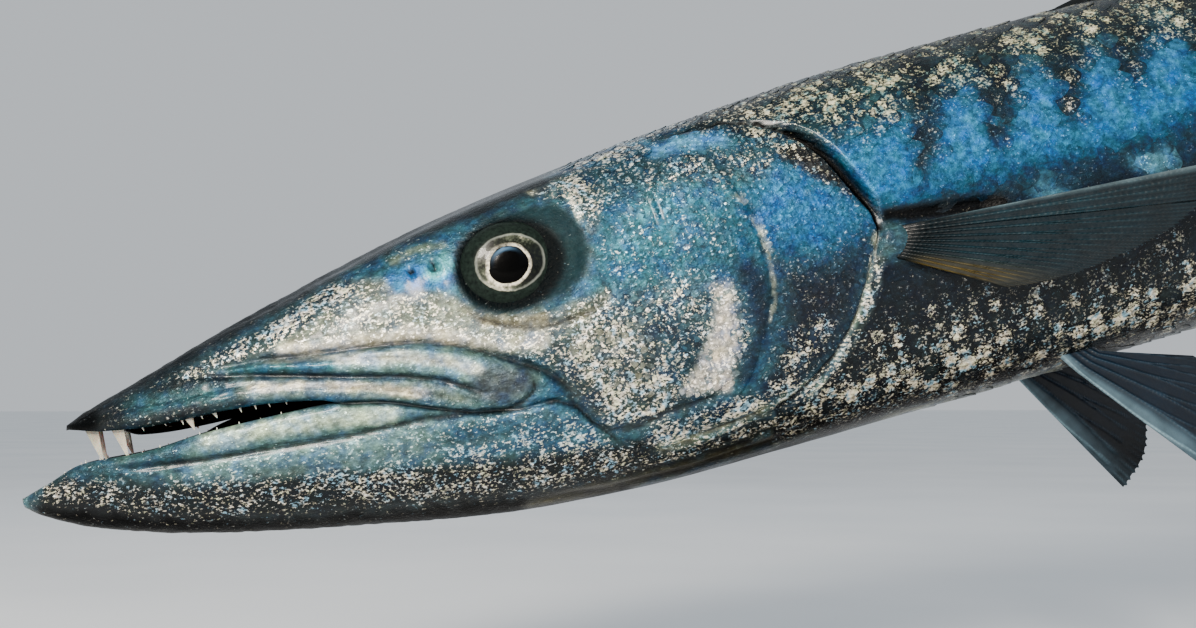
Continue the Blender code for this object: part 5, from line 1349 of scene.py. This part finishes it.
# Fin membrane: skin stretched thin and wet over bony rays, each ray made of short joints of about 2 mm
finMembrane, add, shader, place = newMaterial("wetFinMembrane")
outwards, onRay, _ = add("SeparateColor", [add("VertexColor", layer_name="finPlace")]).node.outputs
cloud = add("TexNoise", {"Vector": place, "Scale": 120.0, "Detail": 4.0})
grain = add("TexNoise", {"Vector": place, "Scale": 700.0, "Detail": 3.0})
joint = add("Math", [add("Math", [outwards, finSet["joints"]], operation="MULTIPLY")], operation="SINE")
joint = add("Math", [joint, onRay], operation="MULTIPLY")
clouded = add("ValToRGB", [cloud], [(0.3, 0.6), (0.7, 1.35)])
jointed = add("ValToRGB", [add("MapRange", [joint, -1.0, 1.0])], [(0.0, 0.5), (0.5, 1.0), (1.0, 1.1)])
tone = add("MixRGB", [0.8, add("VertexColor", layer_name="tint"), clouded], blend_type="MULTIPLY")
height = add("Math", [joint, 0.5, grain], operation="MULTIPLY_ADD")
setInputs(shader, {"Base Color": add("MixRGB", [0.35, tone, jointed], blend_type="MULTIPLY"),
                   "Normal": add("Bump", {"Strength": 0.5, "Distance": 0.00025, "Height": height}),
                   "Roughness": add("ValToRGB", [grain], [(0.3, 0.3), (0.7, 0.5)]),
                   "Specular IOR Level": 0.2, "Coat Weight": 0.08, "Coat Roughness": 0.2})


def mixTones(first, *layers):
    # colours laid over one another: hex and weight, the first one all over
    colour = np.array(hexColour(first)) + 0 * layers[0][1][:, None]
    for text, weight in layers:
        colour = colour + (np.array(hexColour(text)) - colour) * np.clip(weight, 0, 1)[:, None]
    return colour


def medianPlace(start, end, lengths, leans, bow, above):
    lengthAt, leanAt = smoothCurve(lengths), smoothCurve(leans)

    def place(u, v):
        station = start + (end - start) * u
        base, sign = (topAt(station), 1) if above else (bottomAt(station), -1)
        lean = np.radians(leanAt(u) - bow * v)
        reach = lengthAt(u) * v
        sunk = finSet["rootSink"] * (1 - smoothStep(0, 0.08, v))
        return np.stack([station + reach * np.cos(lean), 0 * u,
                         base + sign * (finSet["gap"] + reach * np.sin(lean) - sunk)], -1)

    return place


def flatOutward(points):
    return np.zeros(points.shape) + (0, -1, 0)


def softTone(ground, rayTone, rayShare, darkTone, dark, paleTone, pale, least, rear=(0.4, 0.9)):
    # soft rayed fins: paler rays, a dark outer part (where it starts and ends, how strong it is) and a
    # pale edge (where it starts and ends), down to its least share in front of the rear rays
    def tone(u, v, r):
        return mixTones(ground, (rayTone, r * rayShare), (darkTone, smoothStep(*dark[:2], v) * dark[2]),
                        (paleTone, smoothStep(*pale, v) * (least + (1 - least) * smoothStep(*rear, u))))

    return tone


def firstDorsalTone(u, v, r):
    return mixTones("#1c272b", ("#38464a", r * 0.8), ("#0e1417", smoothStep(0.7, 1, v) * 0.6))


foldedLean = [(0, 11), (1, 17)]
softLean = [(0, 56), (0.4, 44), (1, 20)]
makeFin("firstDorsalMembrane", "first_dorsal_fin", 5,
        medianPlace(442, 506, [(0, 76), (0.3, 72), (0.7, 52), (1, 26)], foldedLean, -2, True),
        flatOutward, 1.1, 1.5, firstDorsalTone, True, 0.3, 3)
makeFin("secondDorsalMembrane", "second_dorsal_fin", 10,
        medianPlace(727, 812, [(0, 104), (0.12, 98), (0.35, 58), (0.7, 38), (1, 44)], softLean, 14, True),
        flatOutward, 1.2, 1.9,
        softTone("#2b3a40", "#56666a", 0.6, "#10181c", (0.25, 0.75, 0.7), "#c3c9c0", (0.86, 0.98), 0.25),
        False, 0.4, 5)
makeFin("analMembrane", "anal_fin", 10,
        medianPlace(738, 820, [(0, 98), (0.12, 92), (0.35, 54), (0.7, 36), (1, 42)], softLean, 14, False),
        flatOutward, 1.2, 1.9,
        softTone("#46545a", "#76868a", 0.5, "#141c20", (0.3, 0.75, 0.75), "#c9cec6", (0.88, 0.98), 0.25),
        False, 0.4, 7)

tailSet = {"rays": 10, "halfSpan": 138.0, "fork": 78.0, "wave": 9.0, "rootInset": 1.5}


def tailPlace(sign):
    end = bodyShape["end"]
    baseTop, baseLow = float(topAt(end)) - tailSet["rootInset"], float(bottomAt(end)) + tailSet["rootInset"]
    middle, halfBase = (baseTop + baseLow) / 2, (baseTop - baseLow) / 2
    lobe = bodyShape["fullLength"] - end - tailSet["fork"]

    def place(u, v):
        out = 1 - u
        wave = tailSet["wave"] * bell(out - 0.2, 0.12)
        tipX = tailSet["fork"] + lobe * out**2.1 + wave * (1 - out)
        tipZ, rootZ = tailSet["halfSpan"] * out**0.95, halfBase * out
        lift = rootZ + (tipZ - rootZ) * 0.62
        x = 2 * (1 - v) * v * tipX * 0.42 + v**2 * tipX
        z = (1 - v) ** 2 * rootZ + 2 * (1 - v) * v * lift + v**2 * tipZ
        sunk = finSet["rootSink"] * (1 - smoothStep(0, 0.05, v))
        return np.stack([end + finSet["gap"] + x - sunk, 0 * u, middle + sign * (z + 0.02)], -1)

    return place


for sign, lobeName in ((1, "upper"), (-1, "lower")):
    makeFin(f"tailLobe_{lobeName}", f"tail_fin_{lobeName}", tailSet["rays"], tailPlace(sign),
            flatOutward, 1.25, 3.4,
            softTone("#36444a", "#66757a", 0.45, "#12191d", (0.22, 0.7, 0.8), "#bfc6bf", (0.9, 0.985), 0.35,
                     (0.35, 0.05)), False, 0.35, 9 + sign)


def pairedPlace(side, roots, lengths, downs, splays, standOff):
    (front, frontZ), (rear, rearZ) = roots
    lengthAt, downAt, splayAt = smoothCurve(lengths), smoothCurve(downs), smoothCurve(splays)

    def place(u, v):
        station, height = front + (rear - front) * u, frontZ + (rearZ - frontZ) * u
        down, splay = np.radians(downAt(u)), np.radians(splayAt(u))
        along = np.stack([np.cos(down), side * np.tan(splay), -np.sin(down)], -1)
        along /= np.linalg.norm(along, axis=-1, keepdims=True)
        angle = angleAtHeight(station, height)
        base, normal = bodyPoint(station, angle), bodyNormal(station, angle)
        off = finSet["gap"] + standOff - (standOff + finSet["rootSink"]) * (1 - smoothStep(0, 0.1, v))
        root = (base + normal * off[..., None]) * (1, -side, 1)
        return root + along * (lengthAt(u) * v)[..., None]

    return place


def fanOutward(points):
    # normal of the fan of rays, the same all along each ray
    along = points[:, -1:] - points[:, :1]
    across = np.gradient(points, axis=0)[:, 30:31]
    normal = np.cross(along, across)
    normal /= np.linalg.norm(normal, axis=-1, keepdims=True)
    return normal * -np.sign(normal[..., 2:3]) * np.ones(points.shape)


def pectoralTone(u, v, r):
    brown = smoothStep(0.66, 0.9, u) * (0.35 + 0.65 * r) * smoothStep(0.06, 0.3, v)
    brown = brown * (1 - 0.6 * smoothStep(0.65, 0.95, v))
    return mixTones("#163542", ("#3f6672", r * 0.45), ("#122731", smoothStep(0.5, 1, v) * 0.5),
                    ("#6d7f86", (1 - smoothStep(0.0, 0.05, u)) * 0.8),
                    ("#0c1b21", (1 - smoothStep(0.04, 0.34, v)) * 0.8), ("#7a6838", brown))


def pelvicTone(u, v, r):
    # the fin's own pale leading edge, dimmed and fading towards the tip: painted shade
    lead = (1 - smoothStep(0.08, 0.22, u)) * (0.5 + 0.5 * r) * (1 - 0.6 * smoothStep(0.4, 1, v))
    return mixTones("#182c42", ("#3f6078", r * 0.45), ("#14242f", smoothStep(0.55, 1, v) * 0.5),
                    ("#86a2ae", lead))


for sideName, side in sides.items():
    makeFin(f"pectoralMembrane_{sideName}", f"pectoral_fin_{sideName}", 12,
            pairedPlace(side, ((325, 1.5), (322, -9)), [(0, 128), (0.15, 125), (0.6, 84), (1, 46)],
                        [(0, 3.5), (1, 30)], [(0, 11), (1, 9)], 1.4),
            fanOutward, 0.95, 1.5, pectoralTone, False, 0.4, 11 + side)
    makeFin(f"pelvicMembrane_{sideName}", f"pelvic_fin_{sideName}", 6,
            pairedPlace(side, ((393, -66.5), (408, -67)), [(0, 94), (0.3, 88), (1, 44)],
                        [(0, 54), (1, 18)], [(0, 12), (1, 8)], 0.6),
            fanOutward, 1.0, 1.6, pelvicTone, False, 0.3, 15 + side)
print("fins made")


# Stand: a dark wooden base with a moulded edge, steel rods in collars, cups that follow the belly.
# The edge runs up from below, each step inset from the side: a foot line, a straight side, a hollow step
# and a rounded rim; the collar and the cup are profiles of radius and height.
standSet = {"base": (560.0, 200.0), "corner": 34.0, "rods": {"front": 530.0, "rear": 690.0}, "rodRadius": 5.0,
            "collarRadius": 15.0, "cupRadius": 13.0, "cupHeight": 16.0, "felt": 1.2, "sides": 96,
            "cupRows": 12,
            "edge": [(1.2, 0), (0, 1.2), (0, 8.6), (0.6, 9.6), (2.6, 10.2), (3.4, 11.2), (3.7, 12.6),
                     (3.7, 14.2), (4.2, 15.8), (5.4, 17.2), (7.2, 17.9), (9.0, 18.0)]}


def turnedRows(profile, centre, low=0.0):
    # rows of points round an upright line through the floor place, from radii and heights
    turn = np.linspace(0, math.tau, standSet["sides"] + 1)
    return [np.stack([centre + r * np.cos(turn), r * np.sin(turn), low + z + 0 * turn], -1)
            for r, z in profile]


def roundedEdge(radius, low, high, soft, steps=5):
    # profile from the bottom's middle up the side to the top's middle, with rounded rims
    turn = np.linspace(0, math.pi / 2, steps)
    under = [(radius - soft + soft * math.sin(t), low + soft - soft * math.cos(t)) for t in turn]
    over = [(radius - soft + soft * math.cos(t), high - soft + soft * math.sin(t)) for t in turn]
    return [(0, low)] + under + over + [(0, high)]


def bellyAt(x, y):
    # height of the belly's skin over a place on the floor, in mm; each round brings the station nearer
    station = np.full(np.shape(x), 600.0)
    for _ in range(12):
        half, square = halfWidthAt(station), bellySquareAt(station)
        share = (1 - np.clip(np.abs(y) / half, 0, 1) ** square) ** (1 / square)
        z = widestAt(station) - (widestAt(station) - bottomAt(station)) * share
        station = (x + hold["stationOverBase"] * tiltCos + z * tiltSin) / tiltCos
    return hold["jawTipHeight"] + station * tiltSin + z * tiltCos


# Stainless steel, turned and brushed round: fine rings scatter its highlight
brushedSteel, add, shader, place = newMaterial("turnedStainlessSteel")
rings = add("Mapping", {"Vector": place, "Scale": (60.0, 60.0, 2600.0)})
lines = add("TexNoise", {"Vector": rings, "Scale": 1.0, "Detail": 3.0})
setInputs(shader, {"Base Color": add("ValToRGB", [lines], [(0.3, "#8f9193"), (0.7, "#b4b5b6")]),
                   "Metallic": 1.0, "Roughness": add("ValToRGB", [lines], [(0.3, 0.24), (0.7, 0.42)]),
                   "Normal": add("Bump", {"Strength": 0.25, "Distance": 0.0001, "Height": lines})})

# Walnut, stained dark and lacquered: long grain with pores, satin film over it
stainedWalnut, add, shader, place = newMaterial("darkStainedWalnut")
along = add("Mapping", {"Vector": place, "Scale": (1.6, 22.0, 22.0)})
bend = add("TexNoise", {"Vector": along, "Scale": 1.4, "Detail": 3.0}).node.outputs["Color"]
rings = add("MixRGB", [0.8, along, bend], blend_type="ADD")
grain = add("TexNoise", {"Vector": rings, "Scale": 2.4, "Detail": 6.0, "Roughness": 0.62})
pores = add("Mapping", {"Vector": place, "Scale": (70.0, 1500.0, 1500.0)})
pores = add("TexNoise", {"Vector": pores, "Scale": 1.0, "Detail": 2.0})
wood = add("ValToRGB", [grain], [(0.32, "#1d110b"), (0.46, "#3a2316"), (0.56, "#4b2f1d"), (0.7, "#2a190f")])
dark = add("ValToRGB", [pores], [(0.36, 0.45), (0.46, 1.0)])
setInputs(shader, {"Base Color": add("MixRGB", [0.7, wood, dark], blend_type="MULTIPLY"),
                   "Roughness": add("ValToRGB", [pores], [(0.35, 0.5), (0.5, 0.36)]),
                   "Normal": add("Bump", {"Strength": 0.25, "Distance": 0.0002, "Height": pores}),
                   "Coat Weight": 0.4, "Coat Roughness": 0.22})

# Wool felt, pressed: a soft nap between cup and skin
woolFelt, add, shader, place = newMaterial("blackWoolFelt")
nap = add("TexNoise", {"Vector": place, "Scale": 900.0, "Detail": 5.0})
setInputs(shader, {"Base Color": add("ValToRGB", [nap], [(0.3, "#0d0d0e"), (0.7, "#2b2c2d")]),
                   "Normal": add("Bump", {"Strength": 0.8, "Distance": 0.0004, "Height": nap}),
                   "Roughness": 0.95})


def floorPiece(name, rows):
    return joinSheets([layGrid(name, np.array(rows), False)], name)


length, width = standSet["base"]
outline = []
for cx, cy, start in ((1, 1, 0), (-1, 1, math.pi / 2), (-1, -1, math.pi), (1, -1, 1.5 * math.pi)):
    for t in np.linspace(0, math.pi / 2, 13) + start:
        outline.append((cx * (length / 2 - standSet["corner"]), cy * (width / 2 - standSet["corner"]),
                        math.cos(t), math.sin(t)))
cx, cy, dx, dy = np.array(outline + outline[:1]).T
rows = []
for inset, z in standSet["edge"]:
    reach = standSet["corner"] - inset
    rows.append(np.stack([cx + reach * dx, cy + reach * dy, 0 * cx + z], -1))
rows = [rows[0] * (0, 0, 1)] + rows + [rows[-1] * (0, 0, 1)]
finishPiece(floorPiece("walnutBase", rows), stainedWalnut, "stand_wood", ["stand_base"], 28)

gap, rodRadius, radius = finSet["gap"], standSet["rodRadius"], standSet["cupRadius"]
floorUp, bore, wide = standSet["edge"][-1][1] + gap, rodRadius + gap, standSet["collarRadius"]
collarProfile = [(bore, 0), (wide - 0.5, 0), (wide, 0.5), (wide, 3.2), (wide - 0.4, 3.9), (wide - 2.0, 5.0),
                 (bore + 4.6, 7.0), (bore + 3.2, 9.5), (bore + 2.8, 10.0), (bore + 0.2, 10.0), (bore, 9.7),
                 (bore, 0)]
cupProfile = [(0, 0), (rodRadius + 1.1, 0), (rodRadius + 1.5, 0.5), (rodRadius + 3.2, 3.0),
              (radius - 1.2, 7.4), (radius, 9.0)]
for rodName, station in standSet["rods"].items():
    x, _, belly = toWorld((station, 0, float(bottomAt(station)))) * 1000
    top = float(belly) - standSet["cupHeight"]
    rod = floorPiece(f"rod_{rodName}", turnedRows(roundedEdge(rodRadius, floorUp, top, 0.4), x))
    collar = floorPiece(f"collar_{rodName}", turnedRows(collarProfile, x, floorUp))
    dish, felt = [], []
    for row in turnedRows([(r, 0) for r in np.linspace(radius, 0, standSet["cupRows"])], x):
        row[:, 2] = bellyAt(row[:, 0], row[:, 1]) - gap
        felt.append(row)
        dish.append(row - (0, 0, standSet["felt"]))
    cup = floorPiece(f"cup_{rodName}", turnedRows(cupProfile, x, top + gap) + dish)
    for piece, node in ((rod, "rod"), (collar, "collar"), (cup, "cup")):
        finishPiece(piece, brushedSteel, "stand_steel", [f"stand_{node}_{rodName}"], 30)
    lifted = [row + (0, 0, 0.05) for row in [dish[-1]] + dish[::-1]]
    finishPiece(floorPiece(f"feltPad_{rodName}", lifted + felt), woolFelt, "stand_steel", (), 40)
print("stand made")
